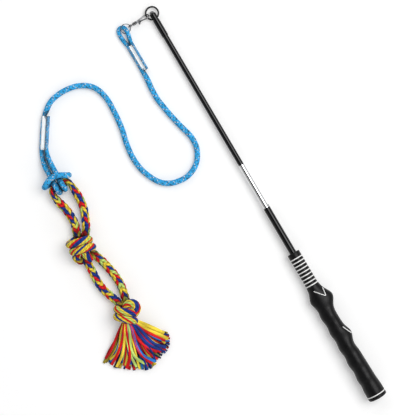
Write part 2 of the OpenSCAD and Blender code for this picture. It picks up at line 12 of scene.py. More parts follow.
import bmesh
import bpy
import numpy as np
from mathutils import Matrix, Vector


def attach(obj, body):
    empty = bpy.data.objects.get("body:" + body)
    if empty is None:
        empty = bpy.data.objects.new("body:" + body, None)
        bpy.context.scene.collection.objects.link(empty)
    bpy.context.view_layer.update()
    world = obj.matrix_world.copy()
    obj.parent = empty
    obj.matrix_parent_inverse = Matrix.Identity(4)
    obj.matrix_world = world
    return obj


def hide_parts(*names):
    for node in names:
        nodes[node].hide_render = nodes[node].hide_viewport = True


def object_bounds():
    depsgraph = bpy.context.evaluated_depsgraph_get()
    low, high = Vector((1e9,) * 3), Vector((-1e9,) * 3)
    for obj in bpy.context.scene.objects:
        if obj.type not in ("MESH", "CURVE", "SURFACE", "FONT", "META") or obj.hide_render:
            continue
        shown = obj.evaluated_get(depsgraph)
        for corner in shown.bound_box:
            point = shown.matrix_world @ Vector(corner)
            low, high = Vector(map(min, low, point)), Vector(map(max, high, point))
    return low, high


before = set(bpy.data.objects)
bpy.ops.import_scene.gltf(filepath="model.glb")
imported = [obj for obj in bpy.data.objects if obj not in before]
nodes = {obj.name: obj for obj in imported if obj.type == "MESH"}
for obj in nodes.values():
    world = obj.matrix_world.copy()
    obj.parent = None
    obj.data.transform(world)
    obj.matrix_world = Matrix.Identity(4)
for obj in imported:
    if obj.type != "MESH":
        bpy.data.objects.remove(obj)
cad_low, cad_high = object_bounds()
MM = 0.001
FLOOR = cad_low.z
print("solid model from", list(cad_low), "to", list(cad_high), "in", len(nodes), "nodes")

# %% [markdown]
# ## The camera
# The picture was taken from straight above with the pole lying at an angle across it. An orthographic camera
# would keep the pole's sides parallel, but a long lens high above the table does that nearly as well and
# still shows a little of each piece's height. The camera is turned about the vertical, so that the pole runs
# from the lower right to the upper left of the picture.

# %% Camera
VIEW_CENTRE = (-0.0802, 0.3947)
VIEW_HEIGHT = 2.21
VIEW_TURN = -30.46
VIEW_LENS = 120.1
VIEW_FAR = 20

overhead = bpy.data.objects.new("overhead", bpy.data.cameras.new("overhead"))
overhead.data.lens = VIEW_LENS
overhead.data.clip_end = VIEW_FAR
overhead.location = (*VIEW_CENTRE, FLOOR + VIEW_HEIGHT)
overhead.rotation_euler = (0, 0, math.radians(VIEW_TURN))
scene = bpy.context.scene
scene.collection.objects.link(overhead)
scene.camera = overhead
scene.view_settings.view_transform = "Standard"
print("camera", list(overhead.location), "lens", overhead.data.lens)

# %% [markdown]
# ## Small helpers for node trees
# A finish is a Principled BSDF with patterns plugged into a few of its inputs. In a script each node takes
# several lines, so one function makes a node and sets its inputs, another joins two sockets, and each finish
# below reads as a short list.


# %% Node helpers
def set_inputs(node, values):
    """Sets a node's inputs by name, with _ for a space."""
    for name, value in values.items():
        node.inputs[name.replace("_", " ")].default_value = value


def add_node(tree, kind, **inputs):
    node = tree.nodes.new(kind)
    set_inputs(node, inputs)
    return node


def join(tree, source, target):
    tree.links.new(source, target)


def arith(tree, operation, first, second=None):
    """A Math node whose inputs are sockets or plain numbers."""
    node = tree.nodes.new("ShaderNodeMath")
    node.operation = operation
    for slot, value in zip(node.inputs, (first, second)):
        if value is None:
            continue
        if isinstance(value, (int, float)):
            slot.default_value = value
        else:
            join(tree, value, slot)
    return node.outputs[0]


def ramp(tree, source, stops):
    """A Map Range for two stops: from (in, out) to (in, out)."""
    (low_in, low_out), (high_in, high_out) = stops
    node = add_node(tree, "ShaderNodeMapRange", From_Min=low_in, From_Max=high_in,
                    To_Min=low_out, To_Max=high_out)
    join(tree, source, node.inputs["Value"])
    return node.outputs["Result"]


# %% [markdown]
# ## The table
# The ground is white and keeps a soft shadow. Enough light to turn a floor white would wash out the object's
# colours, so the floor is pale, and a little glow lifts it to white. Only the camera's own rays, and rays
# that are mirrored or refracted, see the glow, so it adds no light to matt surfaces.

# %% Floor
FLOOR_GAP = 0.0002
FLOOR_HALF = 6.0
FLOOR_PALE = (0.8, 0.8, 0.8, 1)
FLOOR_GLOW = 0.25


def make_floor():
    bm = bmesh.new()
    bmesh.ops.create_grid(bm, x_segments=1, y_segments=1, size=FLOOR_HALF)
    bmesh.ops.translate(bm, verts=bm.verts, vec=(0, 0, FLOOR - FLOOR_GAP))
    mesh = bpy.data.meshes.new("table_top")
    bm.to_mesh(mesh)
    bm.free()
    floor = bpy.data.objects.new("table_top", mesh)
    scene.collection.objects.link(floor)
    material = bpy.data.materials.new("pale_table")
    material.use_nodes = True
    tree = material.node_tree
    tree.nodes.clear()
    path = tree.nodes.new("ShaderNodeLightPath")
    seen = arith(tree, "MAXIMUM", path.outputs["Is Camera Ray"], path.outputs["Is Glossy Ray"])
    seen = arith(tree, "MAXIMUM", seen, path.outputs["Is Transmission Ray"])
    matt = add_node(tree, "ShaderNodeBsdfDiffuse", Color=FLOOR_PALE)
    glow = add_node(tree, "ShaderNodeEmission", Color=(1, 1, 1, 1))
    join(tree, arith(tree, "MULTIPLY", seen, FLOOR_GLOW), glow.inputs["Strength"])
    both = tree.nodes.new("ShaderNodeAddShader")
    join(tree, matt.outputs[0], both.inputs[0])
    join(tree, glow.outputs[0], both.inputs[1])
    join(tree, both.outputs[0], tree.nodes.new("ShaderNodeOutputMaterial").inputs["Surface"])
    mesh.materials.append(material)


make_floor()
print("floor at", FLOOR)

# %% [markdown]
# ## The studio
# Round metal and gloss paint show what stands round them. Lamps on all sides would do, but each would add a
# shadow. So the sky is the studio: a dim wall on the right of the pole, a brighter one on the left, the
# brightest past its two ends, and a dark gap overhead, which gives round metal its dark parts.

# %% Sky
RIGHT_WALL, LEFT_WALL, OVERHEAD, ENDS = 0.45, 0.65, 0.03, 1.6
RIGHT_FROM, RIGHT_FULL = 0.2, 0.34
LEFT_FROM, LEFT_FULL = -0.6, -0.75
ENDS_FROM, ENDS_FULL = 0.45, 0.7
LOW_FROM, LOW_UNTIL, LOW_SHARE = 0.12, 0.32, 0.1


def make_sky():
    world = bpy.data.worlds.new("studio")
    scene.world = world
    world.use_nodes = True
    tree = world.node_tree
    tree.nodes.clear()
    split = tree.nodes.new("ShaderNodeSeparateXYZ")
    join(tree, tree.nodes.new("ShaderNodeTexCoord").outputs["Generated"], split.inputs[0])
    right = ramp(tree, split.outputs["X"], ((RIGHT_FROM, OVERHEAD), (RIGHT_FULL, RIGHT_WALL)))
    left = ramp(tree, split.outputs["X"], ((LEFT_FROM, 0.0), (LEFT_FULL, LEFT_WALL - OVERHEAD)))
    ends = ramp(tree, arith(tree, "ABSOLUTE", split.outputs["Y"]), ((ENDS_FROM, 0.0), (ENDS_FULL, ENDS)))
    high = ramp(tree, split.outputs["Z"], ((LOW_FROM, LOW_SHARE), (LOW_UNTIL, 1.0)))
    walls = arith(tree, "MULTIPLY", high, arith(tree, "MAXIMUM", arith(tree, "ADD", right, left), ends))
    seen = tree.nodes.new("ShaderNodeLightPath").outputs["Is Camera Ray"]
    plain = arith(tree, "MULTIPLY", seen, arith(tree, "SUBTRACT", 1.0, walls))
    back = tree.nodes.new("ShaderNodeBackground")
    join(tree, arith(tree, "ADD", walls, plain), back.inputs["Strength"])
    join(tree, back.outputs[0], tree.nodes.new("ShaderNodeOutputWorld").inputs["Surface"])


make_sky()
print("sky", scene.world.name)

# %% [markdown]
# ## The lamp
# The shadow falls to one side, and each tube has one streak. A small lamp would make the shadow hard and the
# streak thin, so this is one large softbox on the right.

# %% Lamp
LAMP_PLACE = (2.4, 4.4)
LAMP_LENGTH, LAMP_WIDTH, LAMP_POWER = 3.6, 3.4, 165


def make_lamp(name, place, width, power):
    """A softbox beside the pole and above it, that faces the middle of the view."""
    lamp = bpy.data.objects.new(name, bpy.data.lights.new(name, "AREA"))
    lamp.data.shape = "RECTANGLE"
    lamp.data.size, lamp.data.size_y = LAMP_LENGTH, width
    lamp.data.energy = power
    lamp.location = (VIEW_CENTRE[0] + place[0], VIEW_CENTRE[1], FLOOR + place[1])
    lamp.rotation_euler = Vector((-place[0], 0, -place[1])).to_track_quat("-Z", "Y").to_euler()
    scene.collection.objects.link(lamp)


make_lamp("right_softbox", LAMP_PLACE, LAMP_WIDTH, LAMP_POWER)
print("softbox", LAMP_LENGTH, "by", LAMP_WIDTH, "m")

# %% [markdown]
# ## Lines
# A cord, a rope's yarn and a loose yarn all follow a line. A Blender curve could carry them, but each point
# of a line here also has a radius, and the length so far has to be known for the patterns. So a line is an
# array of points, smoothed in even steps, with two directions across it that are carried along without twist.

# %% Helpers for lines
CURVE_STEPS = 24


def run_length(line):
    """How far along the line each point is."""
    steps = np.linalg.norm(np.diff(line[:, :3], axis=0), axis=1)
    return np.concatenate([[0], np.cumsum(steps)])


def smooth_line(points, step):
    """A Catmull-Rom curve through the points, in even steps. Columns after the third ride along."""
    p = np.asarray(points, float)
    p = np.vstack([2 * p[0] - p[1], p, 2 * p[-1] - p[-2]])
    t = np.linspace(0, 1, CURVE_STEPS, endpoint=False)[:, None]
    parts = []
    for a, b, c, d in zip(p[:-3], p[1:-2], p[2:-1], p[3:]):
        square, cube = 2 * a - 5 * b + 4 * c - d, 3 * b - a - 3 * c + d
        parts.append(0.5 * (2 * b + (c - a) * t + square * t ** 2 + cube * t ** 3))
    fine = np.vstack(parts + [p[-2:-1]])
    run = run_length(fine)
    even = np.linspace(0, run[-1], max(2, round(run[-1] / step)) + 1)
    return np.stack([np.interp(even, run, column) for column in fine.T], axis=1)


def side_frames(line, first=(0, 0, 1)):
    """Two directions across the line at each point, carried along it without twist."""
    along = np.gradient(line[:, :3], axis=0)
    along /= np.linalg.norm(along, axis=1)[:, None]
    side, carried = np.empty_like(along), np.array(first, float)
    for i, heading in enumerate(along):
        carried = carried - heading * (carried @ heading)
        carried /= np.linalg.norm(carried)
        side[i] = carried
    return side, np.cross(along, side)


# %% [markdown]
# ## Skins over rows of points
# A cord, a rope strand, a sleeve and the grip are each one grid of faces, wrapped round a line. A curve with
# a bevel would make a plain tube, but no relief, and no colour for each point. So the grid comes from a bmesh
# operator with its UVs, its points are laid along the line, and its seam is merged. U runs round the piece,
# and V runs along it in metres, so that a yarn pattern keeps its size.

# %% Helpers that lay a skin along a line
MERGE = 1e-7


def tube_points(line, radii, sides, flat=1.0, first=(0, 0, 1)):
    """Rows of points round a line, with a radius for each row or for each point. flat thins them."""
    side, other = side_frames(line, first)
    a = np.linspace(0, 2 * math.pi, sides + 1)
    if np.ndim(radii) < 2:
        radii = np.asarray(radii, float).reshape(-1, 1)
    r = np.broadcast_to(radii, (len(line), sides + 1))
    up = (flat * r * np.cos(a))[..., None] * side[:, None]
    out = (r * np.sin(a))[..., None] * other[:, None]
    return line[:, None, :3] + up + out


def lay_skin(bm, points, dye, length, ends=True):
    """Lays a grid over rows of points, whose last column is the first again, and closes its ends."""
    rows, cols = points.shape[:2]
    uv, paint = bm.loops.layers.uv.verify(), bm.verts.layers.float_color["dye"]
    grid = bmesh.ops.create_grid(bm, x_segments=cols - 1, y_segments=rows - 1, size=1, calc_uvs=True)
    verts = grid["verts"]
    colours = np.broadcast_to(dye, (rows, cols, 4)).reshape(-1, 4)
    for v, p, c in zip(verts, points.reshape(-1, 3), colours):
        v.co = p
        v[paint] = c
    for face in {f for v in verts for f in v.link_faces}:
        face.smooth = True
        for loop in face.loops:
            loop[uv].uv.y *= length
    rims = [verts[i * cols:(i + 1) * cols - 1] for i in (0, rows - 1)]
    bmesh.ops.remove_doubles(bm, verts=verts[0::cols] + verts[cols - 1::cols], dist=MERGE)
    if ends:
        for rim in rims:
            bmesh.ops.contextual_create(bm, geom=[v for v in rim if v.is_valid])


def new_skin():
    bm = bmesh.new()
    bm.loops.layers.uv.verify()
    bm.verts.layers.float_color.new("dye")
    return bm


def finish_piece(bm, name, material, body, slot, *replaced):
    """Turns a bmesh into a piece that rides on a body, with its finish and the nodes that it stands for."""
    bmesh.ops.recalc_face_normals(bm, faces=bm.faces)
    mesh = bpy.data.meshes.new(name)
    bm.to_mesh(mesh)
    bm.free()
    mesh.materials.append(material)
    piece = bpy.data.objects.new(name, mesh)
    scene.collection.objects.link(piece)
    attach(piece, body)
    if replaced:
        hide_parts(*replaced)
    print(name, len(mesh.polygons), "faces, rides on", body)
    return piece


# %% [markdown]
# ## Shared surface effects
# No real surface is the same all over. Pictures of wear would need a file and would stretch over the parts,
# so patterns do it. One node group gives grain, blotches and rubbed marks to moulded, painted and plated
# surfaces, from the place on the object. Another gives the twisted fibres of yarn, from its UVs and its
# place, with a tone that is partly painted shade between the plies.

# %% Node groups
GRAIN_SCALE, BLOTCH_SCALE, RUB_SCALE = 1500.0, 30.0, 220.0
NOISES = (("Grain", 2.0, 0.5), ("Blotch", 4.0, 0.6), ("Rub", 6.0, 0.7))
TWIST, PLIES, FUZZ_SCALE = 90.0, 3.0, 900.0
PLY_SHARE, FUZZ_SHARE = 0.45, 0.55
DEEP_FIBRE_SHADE, PROUD_FIBRE_LIGHT = (0.25, 0.62), (0.75, 1.15)


def new_group(name, inputs, outputs):
    tree = bpy.data.node_groups.new(name, "ShaderNodeTree")
    for label, kind, value in inputs:
        socket = tree.interface.new_socket(label, in_out="INPUT", socket_type=kind)
        if value is not None:
            socket.default_value = value
    for label, kind in outputs:
        tree.interface.new_socket(label, in_out="OUTPUT", socket_type=kind)
    return tree, tree.nodes.new("NodeGroupInput"), tree.nodes.new("NodeGroupOutput")


def make_surface_group():
    """Grain, blotches and rubbed marks of a hard or moulded surface, from Object coordinates."""
    tree, given, made = new_group(
        "surface_wear",
        [("Place", "NodeSocketVector", None), ("Grain Scale", "NodeSocketFloat", GRAIN_SCALE),
         ("Blotch Scale", "NodeSocketFloat", BLOTCH_SCALE), ("Rub Scale", "NodeSocketFloat", RUB_SCALE)],
        [("Grain", "NodeSocketFloat"), ("Blotch", "NodeSocketFloat"), ("Rub", "NodeSocketFloat")])
    for label, detail, rough in NOISES:
        noise = add_node(tree, "ShaderNodeTexNoise", Detail=detail, Roughness=rough)
        join(tree, given.outputs["Place"], noise.inputs["Vector"])
        join(tree, given.outputs[label + " Scale"], noise.inputs["Scale"])
        join(tree, noise.outputs["Fac"], made.inputs[label])
    return tree


def make_yarn_group():
    """Fibres that wind round a strand and loose fuzz, from UV and Object coordinates. Tone is painted shade,
    mixed with the fuzz's uneven tone.
    """
    tree, given, made = new_group(
        "yarn_fibre",
        [("Along", "NodeSocketVector", None), ("Place", "NodeSocketVector", None),
         ("Twist", "NodeSocketFloat", TWIST), ("Plies", "NodeSocketFloat", PLIES),
         ("Fuzz Scale", "NodeSocketFloat", FUZZ_SCALE)],
        [("Height", "NodeSocketFloat"), ("Tone", "NodeSocketFloat")])
    split = tree.nodes.new("ShaderNodeSeparateXYZ")
    join(tree, given.outputs["Along"], split.inputs[0])
    round_it = arith(tree, "MULTIPLY", split.outputs["X"], given.outputs["Plies"])
    along_it = arith(tree, "MULTIPLY", split.outputs["Y"], given.outputs["Twist"])
    wound = arith(tree, "MULTIPLY", arith(tree, "ADD", round_it, along_it), 2 * math.pi)
    ply = ramp(tree, arith(tree, "SINE", wound), ((-1, 0), (1, 1)))
    fuzz = add_node(tree, "ShaderNodeTexNoise", Detail=5.0, Roughness=0.65)
    join(tree, given.outputs["Place"], fuzz.inputs["Vector"])
    join(tree, given.outputs["Fuzz Scale"], fuzz.inputs["Scale"])
    plied = arith(tree, "MULTIPLY", ply, PLY_SHARE)
    mixed = arith(tree, "ADD", plied, arith(tree, "MULTIPLY", fuzz.outputs["Fac"], FUZZ_SHARE))
    join(tree, mixed, made.inputs["Height"])
    # Tone: painted shade where the fibres sink between the plies, lighter where they stand proud, mixed with
    # the fuzz's own uneven tone
    join(tree, ramp(tree, mixed, (DEEP_FIBRE_SHADE, PROUD_FIBRE_LIGHT)), made.inputs["Tone"])
    return tree


SURFACE = make_surface_group()
YARN = make_yarn_group()
print("groups", SURFACE.name, YARN.name)

# %% [markdown]
# ## Hard finishes
# The grip is matt rubber with a fine stipple. The tubes and the tip's ring are black gloss paint, the inner
# tube is bright plating with faint drawing lines, the clasp and the cord's ring are darker plating, and the
# trim is satin white plastic. Each could have its own nodes, but they differ only in colour, gloss and grain,
# so one function makes them all from the wear group.

# %% Materials of the hard parts
RUB_LOW, RUB_HIGH = 0.3, 0.7
DRAWN = (1, 0.03, 1)


def use_group(tree, group, **inputs):
    node = tree.nodes.new("ShaderNodeGroup")
    node.node_tree = group
    set_inputs(node, inputs)
    return node


def tinted(tree, mask, low, high):
    """A colour between two, by a mask."""
    mix = tree.nodes.new("ShaderNodeMix")
    mix.data_type = "RGBA"
    mix.inputs["A"].default_value = low
    mix.inputs["B"].default_value = high
    join(tree, mask, mix.inputs["Factor"])
    return mix.outputs["Result"]


def hard_finish(name, low, high, gloss, grain, depth, stretch=(1, 1, 1), **constants):
    """A finish between two colours and two roughness values, with a grain of the given scale and depth."""
    material = bpy.data.materials.new(name)
    material.use_nodes = True
    tree = material.node_tree
    shader = tree.nodes["Principled BSDF"]
    set_inputs(shader, constants)
    place = add_node(tree, "ShaderNodeMapping", Scale=stretch)
    join(tree, tree.nodes.new("ShaderNodeTexCoord").outputs["Object"], place.inputs["Vector"])
    wear = use_group(tree, SURFACE, Grain_Scale=grain, Blotch_Scale=BLOTCH_SCALE, Rub_Scale=RUB_SCALE)
    join(tree, place.outputs[0], wear.inputs["Place"])
    join(tree, tinted(tree, wear.outputs["Blotch"], low, high), shader.inputs["Base Color"])
    rough = ramp(tree, wear.outputs["Rub"], ((RUB_LOW, gloss[0]), (RUB_HIGH, gloss[1])))
    join(tree, rough, shader.inputs["Roughness"])
    bump = add_node(tree, "ShaderNodeBump", Strength=1.0, Distance=depth)
    join(tree, wear.outputs["Grain"], bump.inputs["Height"])
    join(tree, bump.outputs["Normal"], shader.inputs["Normal"])
    return material


rubber = hard_finish(
    "grip_rubber", (0.002, 0.002, 0.0024, 1), (0.005, 0.005, 0.0055, 1),
    gloss=(0.34, 0.48), grain=2200, depth=0.00004, Specular_IOR_Level=0.24)
white_trim = hard_finish(
    "white_trim", (0.80, 0.80, 0.79, 1), (0.9, 0.9, 0.89, 1),
    gloss=(0.3, 0.45), grain=1200, depth=0.00001)
black_paint = hard_finish(
    "black_paint", (0.0015, 0.0015, 0.002, 1), (0.004, 0.004, 0.005, 1),
    gloss=(0.08, 0.14), grain=700, depth=0.000003, Specular_IOR_Level=0.38)
inner_plastic = hard_finish(
    "inner_plastic", (0.06, 0.06, 0.06, 1), (0.1, 0.1, 0.1, 1),
    gloss=(0.45, 0.6), grain=1500, depth=0.00002)
bright_metal = hard_finish(
    "bright_metal", (0.72, 0.73, 0.74, 1), (0.84, 0.85, 0.86, 1),
    gloss=(0.08, 0.15), grain=2500, depth=0.000001, stretch=DRAWN, Metallic=1.0)
plated_metal = hard_finish(
    "plated_metal", (0.16, 0.16, 0.165, 1), (0.28, 0.28, 0.29, 1),
    gloss=(0.1, 0.22), grain=2500, depth=0.000003, Metallic=1.0)
turned_metal = hard_finish(
    "turned_metal", (0.42, 0.42, 0.43, 1), (0.6, 0.6, 0.61, 1),
    gloss=(0.28, 0.42), grain=1800, depth=0.00001, Metallic=1.0)
print("hard finishes made")

# %% [markdown]
# ## Finishes on the solid parts
# The tubes, rings, clasp and caps have the right shape already, so they aren't modelled again. Their meshes
# are loose triangles. A Weld joins them, and an Edge Split keeps the true corners sharp while the round faces
# shade smoothly.

# %% Dress the solid parts
HARD_PARTS = {
    rubber: ("butt_cap",),
    white_trim: ("neck_rings", "butt_ring"),
    black_paint: ("base_tube", "upper_tube", "tip_sleeve", "tip_ring"),
    inner_plastic: ("butt_plug", "mouth_bush", "guide_bush"),
    bright_metal: ("chrome_tube",),
    plated_metal: ("tip_plug", "clasp_body", "clasp_rivet", "clasp_trigger", "swivel_eye", "cord_ring"),
    turned_metal: ("joint_spigot", "clasp_spring"),
}
CORNER = math.radians(28)
WELD_REACH = 1e-6


def dress(node, material):
    mesh = node.data
    mesh.materials.clear()
    mesh.materials.append(material)
    mesh.shade_smooth()
    weld = node.modifiers.new("weld", "WELD")
    weld.merge_threshold = WELD_REACH
    split = node.modifiers.new("corners", "EDGE_SPLIT")
    split.split_angle = CORNER


for material, names in HARD_PARTS.items():
    for name in names:
        dress(nodes[name], material)
print(sum(len(names) for names in HARD_PARTS.values()), "solid parts dressed")

# %% [markdown]
# ## The grip's curves
# The rubber grip has swells for the fingers on one side, and a thumb swell and a bigger index swell on the
# other. It could be sculpted, but then its swells would no longer follow the solid's. So its reach to four
# sides is worked out at each station: a taper, a wave for the fingers, and a bump for each swell.

# %% Curves of the grip
BUTT_R, NECK_R, NECK_STEP = 15.5, 10.3, 0.4
GRIP_LOW, NECK_AT, GRIP_TOP = 7.6, 205.0, 265.0
FINGER_R, FINGER_WAVE, FINGER_PITCH, FINGER_FIRST = 14.2, 0.8, 28.1, 39.0
FINGER_FROM, FINGER_UNTIL, FINGER_LEAD = 16.0, 180.0, 20.0
PALM_HOLLOW, TOP_WAVE = 0.9, 0.9
THUMB_AT, THUMB_W, THUMB_SWELL, THUMB_LIFT = 113.0, 11.0, 4.6, 0.5
HOLLOW_AT, HOLLOW_W, HOLLOW = 94.0, 10.0, 1.3
INDEX_AT, INDEX_W, INDEX_SWELL, INDEX_LIFT = 178.5, 14.5, 9.6, 0.8
SIDE_AT, SIDE_W, SIDE_SWELL = 181.7, 11.0, 5.6


def ease(u):
    """A smooth step from 0 to 1."""
    u = min(1, max(0, u))
    return u * u * (3 - 2 * u)


def swell(at, middle, width):
    return math.exp(-((at - middle) / width) ** 2)


def grip_reach(at):
    """Reach of the hand part to its palm side, finger side, underside and top, in millimetres."""
    taper = BUTT_R + (NECK_R + NECK_STEP - BUTT_R) * (at - GRIP_LOW) / (NECK_AT - GRIP_LOW)
    held = ease((at - FINGER_FROM) / FINGER_LEAD) * ease((FINGER_UNTIL - at) / FINGER_LEAD)
    wave = math.cos(2 * math.pi * (at - FINGER_FIRST) / FINGER_PITCH)
    index, thumb = swell(at, INDEX_AT, INDEX_W), swell(at, THUMB_AT, THUMB_W)
    palm = taper - PALM_HOLLOW * held + THUMB_SWELL * thumb + INDEX_SWELL * index
    palm -= HOLLOW * swell(at, HOLLOW_AT, HOLLOW_W)
    finger = taper + held * (FINGER_R + FINGER_WAVE * wave - taper) + SIDE_SWELL * swell(at, SIDE_AT, SIDE_W)
    top = taper + TOP_WAVE * held * wave + INDEX_LIFT * index + THUMB_LIFT * thumb
    return palm, finger, taper, top


print("reach at the index swell", [round(reach, 1) for reach in grip_reach(INDEX_AT)], "mm")

# %% [markdown]
# ## The grip's skin
# Each station along the pole becomes a ring of points, in finer steps than the solid's. On the slim neck the
# rings step in and out again for the nine grooves of the white rings, and the skin turns in to the bore at
# both ends. An Edge Split keeps the corners of the grooves sharp.

# %% Skin of the grip
LIE = math.radians(0.84325)
GRIP_BORE = 5.6
RING_COUNT, RING_PITCH, RING_FIRST, RING_W, RING_DEPTH = 9, 6.04, 207.0, 1.8, 0.9
RING_LIP = 0.2
BUTT_EDGE, BUTT_SHARES = 0.8, (0, 0.3, 0.6, 1)
TOP_EDGE, TOP_SHARES = 1, (0, 0.35, 0.7, 1)
HAND_FROM, HAND_UNTIL, HAND_STEP = GRIP_LOW + 2.5, NECK_AT - 0.5, 2.0
SHOULDER_LEAD, SHOULDER_IN, SHOULDER_RUN = 0.3, 0.15, 0.1
GRIP_SIDES = 64
GRIP_TURNS = [2 * math.pi * k / GRIP_SIDES for k in range(GRIP_SIDES + 1)]
GRIP_CORNER = math.radians(40)
GRIP_DYE = (0, 0, 0, 1)


def on_pole(x, up, at):
    """A point beside the pole's axis, in metres."""
    c, s = math.cos(LIE), math.sin(LIE)
    return (x * MM, (at * c + up * s) * MM, (up * c - at * s) * MM)


def grip_ring(at, shrink):
    """A ring of points round the hand part, drawn in by shrink."""
    palm, finger, under, top = grip_reach(at)
    ring = []
    for a in GRIP_TURNS:
        c, s = math.cos(a), math.sin(a)
        x = c * ((palm if c > 0 else finger) - shrink)
        ring.append(on_pole(x, s * ((top if s > 0 else under) - shrink), at))
    return ring


def round_ring(at, r):
    return [on_pole(r * math.cos(a), r * math.sin(a), at) for a in GRIP_TURNS]


def make_grip():
    rows = [round_ring(GRIP_LOW, GRIP_BORE)]
    for share in BUTT_SHARES:
        turn = share * math.pi / 2
        rise, shrink = BUTT_EDGE * (1 - math.cos(turn)), BUTT_EDGE * (1 - math.sin(turn))
        rows.append(grip_ring(GRIP_LOW + rise, shrink))
    for at in np.arange(HAND_FROM, HAND_UNTIL, HAND_STEP):
        rows.append(grip_ring(float(at), 0))
    rows.append(grip_ring(NECK_AT - SHOULDER_LEAD, 0))
    rows.append(grip_ring(NECK_AT, SHOULDER_IN))
    rows.append(round_ring(NECK_AT + SHOULDER_RUN, NECK_R))
    half, lip, deep = RING_W / 2, NECK_R - RING_LIP, NECK_R - RING_DEPTH
    groove = ((-half - RING_LIP, NECK_R), (-half, lip), (-half, deep),
              (half, deep), (half, lip), (half + RING_LIP, NECK_R))
    for i in range(RING_COUNT):
        for at, r in groove:
            rows.append(round_ring(RING_FIRST + i * RING_PITCH + at, r))
    for share in TOP_SHARES:
        turn = share * math.pi / 2
        r = NECK_R - TOP_EDGE + TOP_EDGE * math.cos(turn)
        rows.append(round_ring(GRIP_TOP - TOP_EDGE + TOP_EDGE * math.sin(turn), r))
    rows.append(round_ring(GRIP_TOP, GRIP_BORE))
    rows.append(rows[0])
    bm = new_skin()
    lay_skin(bm, np.array(rows), GRIP_DYE, GRIP_TOP * MM, ends=False)
    bmesh.ops.remove_doubles(bm, verts=bm.verts, dist=MERGE)
    return finish_piece(bm, "moulded_grip", rubber, "handle", "grip_rubber", "grip_sleeve")


grip = make_grip()
corners = grip.modifiers.new("corners", "EDGE_SPLIT")
corners.split_angle = GRIP_CORNER

# %% [markdown]
# ## White marks on the grip
# Two thin white lines are let into the rubber: an open V by the index swell and a curved stroke by the thumb.
# A mask in the rubber's finish could paint them, but a ribbon keeps a sharp edge in a close view. Each ribbon
# is flat, follows the top of the grip and stands a hair above it.

# %% Marks
MARK_HALF_W, MARK_PROUD, MARK_DEEP = 0.55, 0.18, 0.35
MARK_STEP, MARK_RUN = 0.7, 0.02
MARK_DYE = (1, 1, 1, 1)
TINY = 1e-6
V_MARK = [(-3.4, 196.9), (1.0, 191.6), (5.4, 186.4), (9.0, 182.5), (9.9, 181.9), (10.3, 183.0), (11.3, 189.0),
          (12.1, 195.0)]
STROKE_MARK = [(8.0, 125.8), (9.4, 122.6), (11.2, 118.6), (13.2, 114.3), (15.2, 110.3)]


def on_top(x, at, proud):
    """A point of the grip's top at x across it, raised by proud."""
    palm, finger, _, top = grip_reach(at)
    reach = palm if x > 0 else finger
    share = x / reach
    level = math.sqrt(max(0.0, 1 - share * share))
    tilt = math.atan2(share * top, max(TINY, level * reach))
    return on_pole(x + proud * math.sin(tilt), top * level + proud * math.cos(tilt), at)


def make_mark(name, line):
    """A ribbon of four corners at each step of a line that is drawn on the grip's top."""
    flat = smooth_line(line, MARK_STEP)
    heading = np.gradient(flat, axis=0)
    heading /= np.linalg.norm(heading, axis=1)[:, None]
    rows = []
    for (x, at), (dx, dat) in zip(flat, heading):
        ax, aat = -dat * MARK_HALF_W, dx * MARK_HALF_W
        corners = [(1, MARK_PROUD), (-1, MARK_PROUD), (-1, -MARK_DEEP), (1, -MARK_DEEP), (1, MARK_PROUD)]
        rows.append([on_top(x + s * ax, at + s * aat, proud) for s, proud in corners])
    bm = new_skin()
    lay_skin(bm, np.array(rows), MARK_DYE, MARK_RUN)
    for face in bm.faces:
        face.smooth = False
    finish_piece(bm, name, white_trim, "handle", "white_trim")


make_mark("open_v_mark", V_MARK)
make_mark("thumb_mark", STROKE_MARK)

# %% [markdown]
# ## The cord's route
# One cord, from end to end: it starts in the upper clear sleeve, goes round the cord ring and back through
# the sleeve, lies on the table in one long bend, and ends in a long eye that is hitched to the toy. A
# simulation could lay it down, but not in the bends that the picture shows. So the route is a list of points
# that follows the solid model's.

# %% Route of the cord
RING_P = np.array((-48.6, 706.5245, FLOOR / MM))
EYE_ROUTE = [(-4.2, -72, 3.9), (-4.2, -27, 3.9), (-3.2, -19, 4.3), (-1.5, -12, 5.3), (-0.6, -6.5, 5.9),
             (-0.6, -1.5, 5.2), (-1.2, 2, 4.3), (-3.4, 4.3, 3.5), (-6.6, 5.2, 3.3), (-9.8, 4.3, 3.3),
             (-12.2, 1.5, 3.4), (-13.2, -3, 3.5), (-13.2, -8.5, 3.6), (-12.6, -15, 3.7), (-11.6, -21, 3.8),
             (-10.8, -27, 3.9), (-10.8, -60, 3.9)]
RUN_ROUTE = [(-11, -86), (-13, -105), (-13, -123), (-10, -144), (-6, -165), (-1, -185), (3, -203), (1, -221),
             (-7, -236), (-20, -247), (-36, -252), (-52, -251), (-66, -246), (-77, -237), (-86, -222),
             (-92, -204), (-94, -185), (-92, -162), (-86, -135), (-83, -111), (-82, -84), (-86, -64),
             (-95, -50), (-108, -41.5), (-121, -37), (-138, -35.5), (-153, -37), (-164.5, -41.2),
             (-174, -47.8)]
RUN_H = 4.5
EYE_R, RUN_R, HITCH_R, TIED_CORD_R = 3.4, 4.4, 3.5, 4.55
TIED_FROM, TIED_LEAD = -102, 22
TIE_Y, TIE_H, TURN_R = -161.0, 15.2, 10.56
TURN_FIRST, TURN_STEP = 80, 30
TURN_X = (-211.2, -211.2, -211.2, -211.2, -211.2, -211.0, -209.8, -207.6)
HITCH_MIDDLE = -216.0
LEAD = [(-177, -57, 4.5), (-198.5, -89.3, 4.5), (-206, -101.5, 4.6), (-209.8, -113.5, 6.4),
        (-211.2, -126, 10.5), (-211.2, -138, 16), (-211.2, -149, 22.2)]
FRONT = [(-203.5, -153.8, 6.8), (-196.8, -153.8, 12), (-194.6, -154.2, 18.5), (-196.2, -154.2, 25),
         (-201, -151.2, 29.6), (-208, -148.2, 31.8)]
FRONT_MIDDLE = (-216, -147, 32.2)
FRONT_LEAN = 0.06
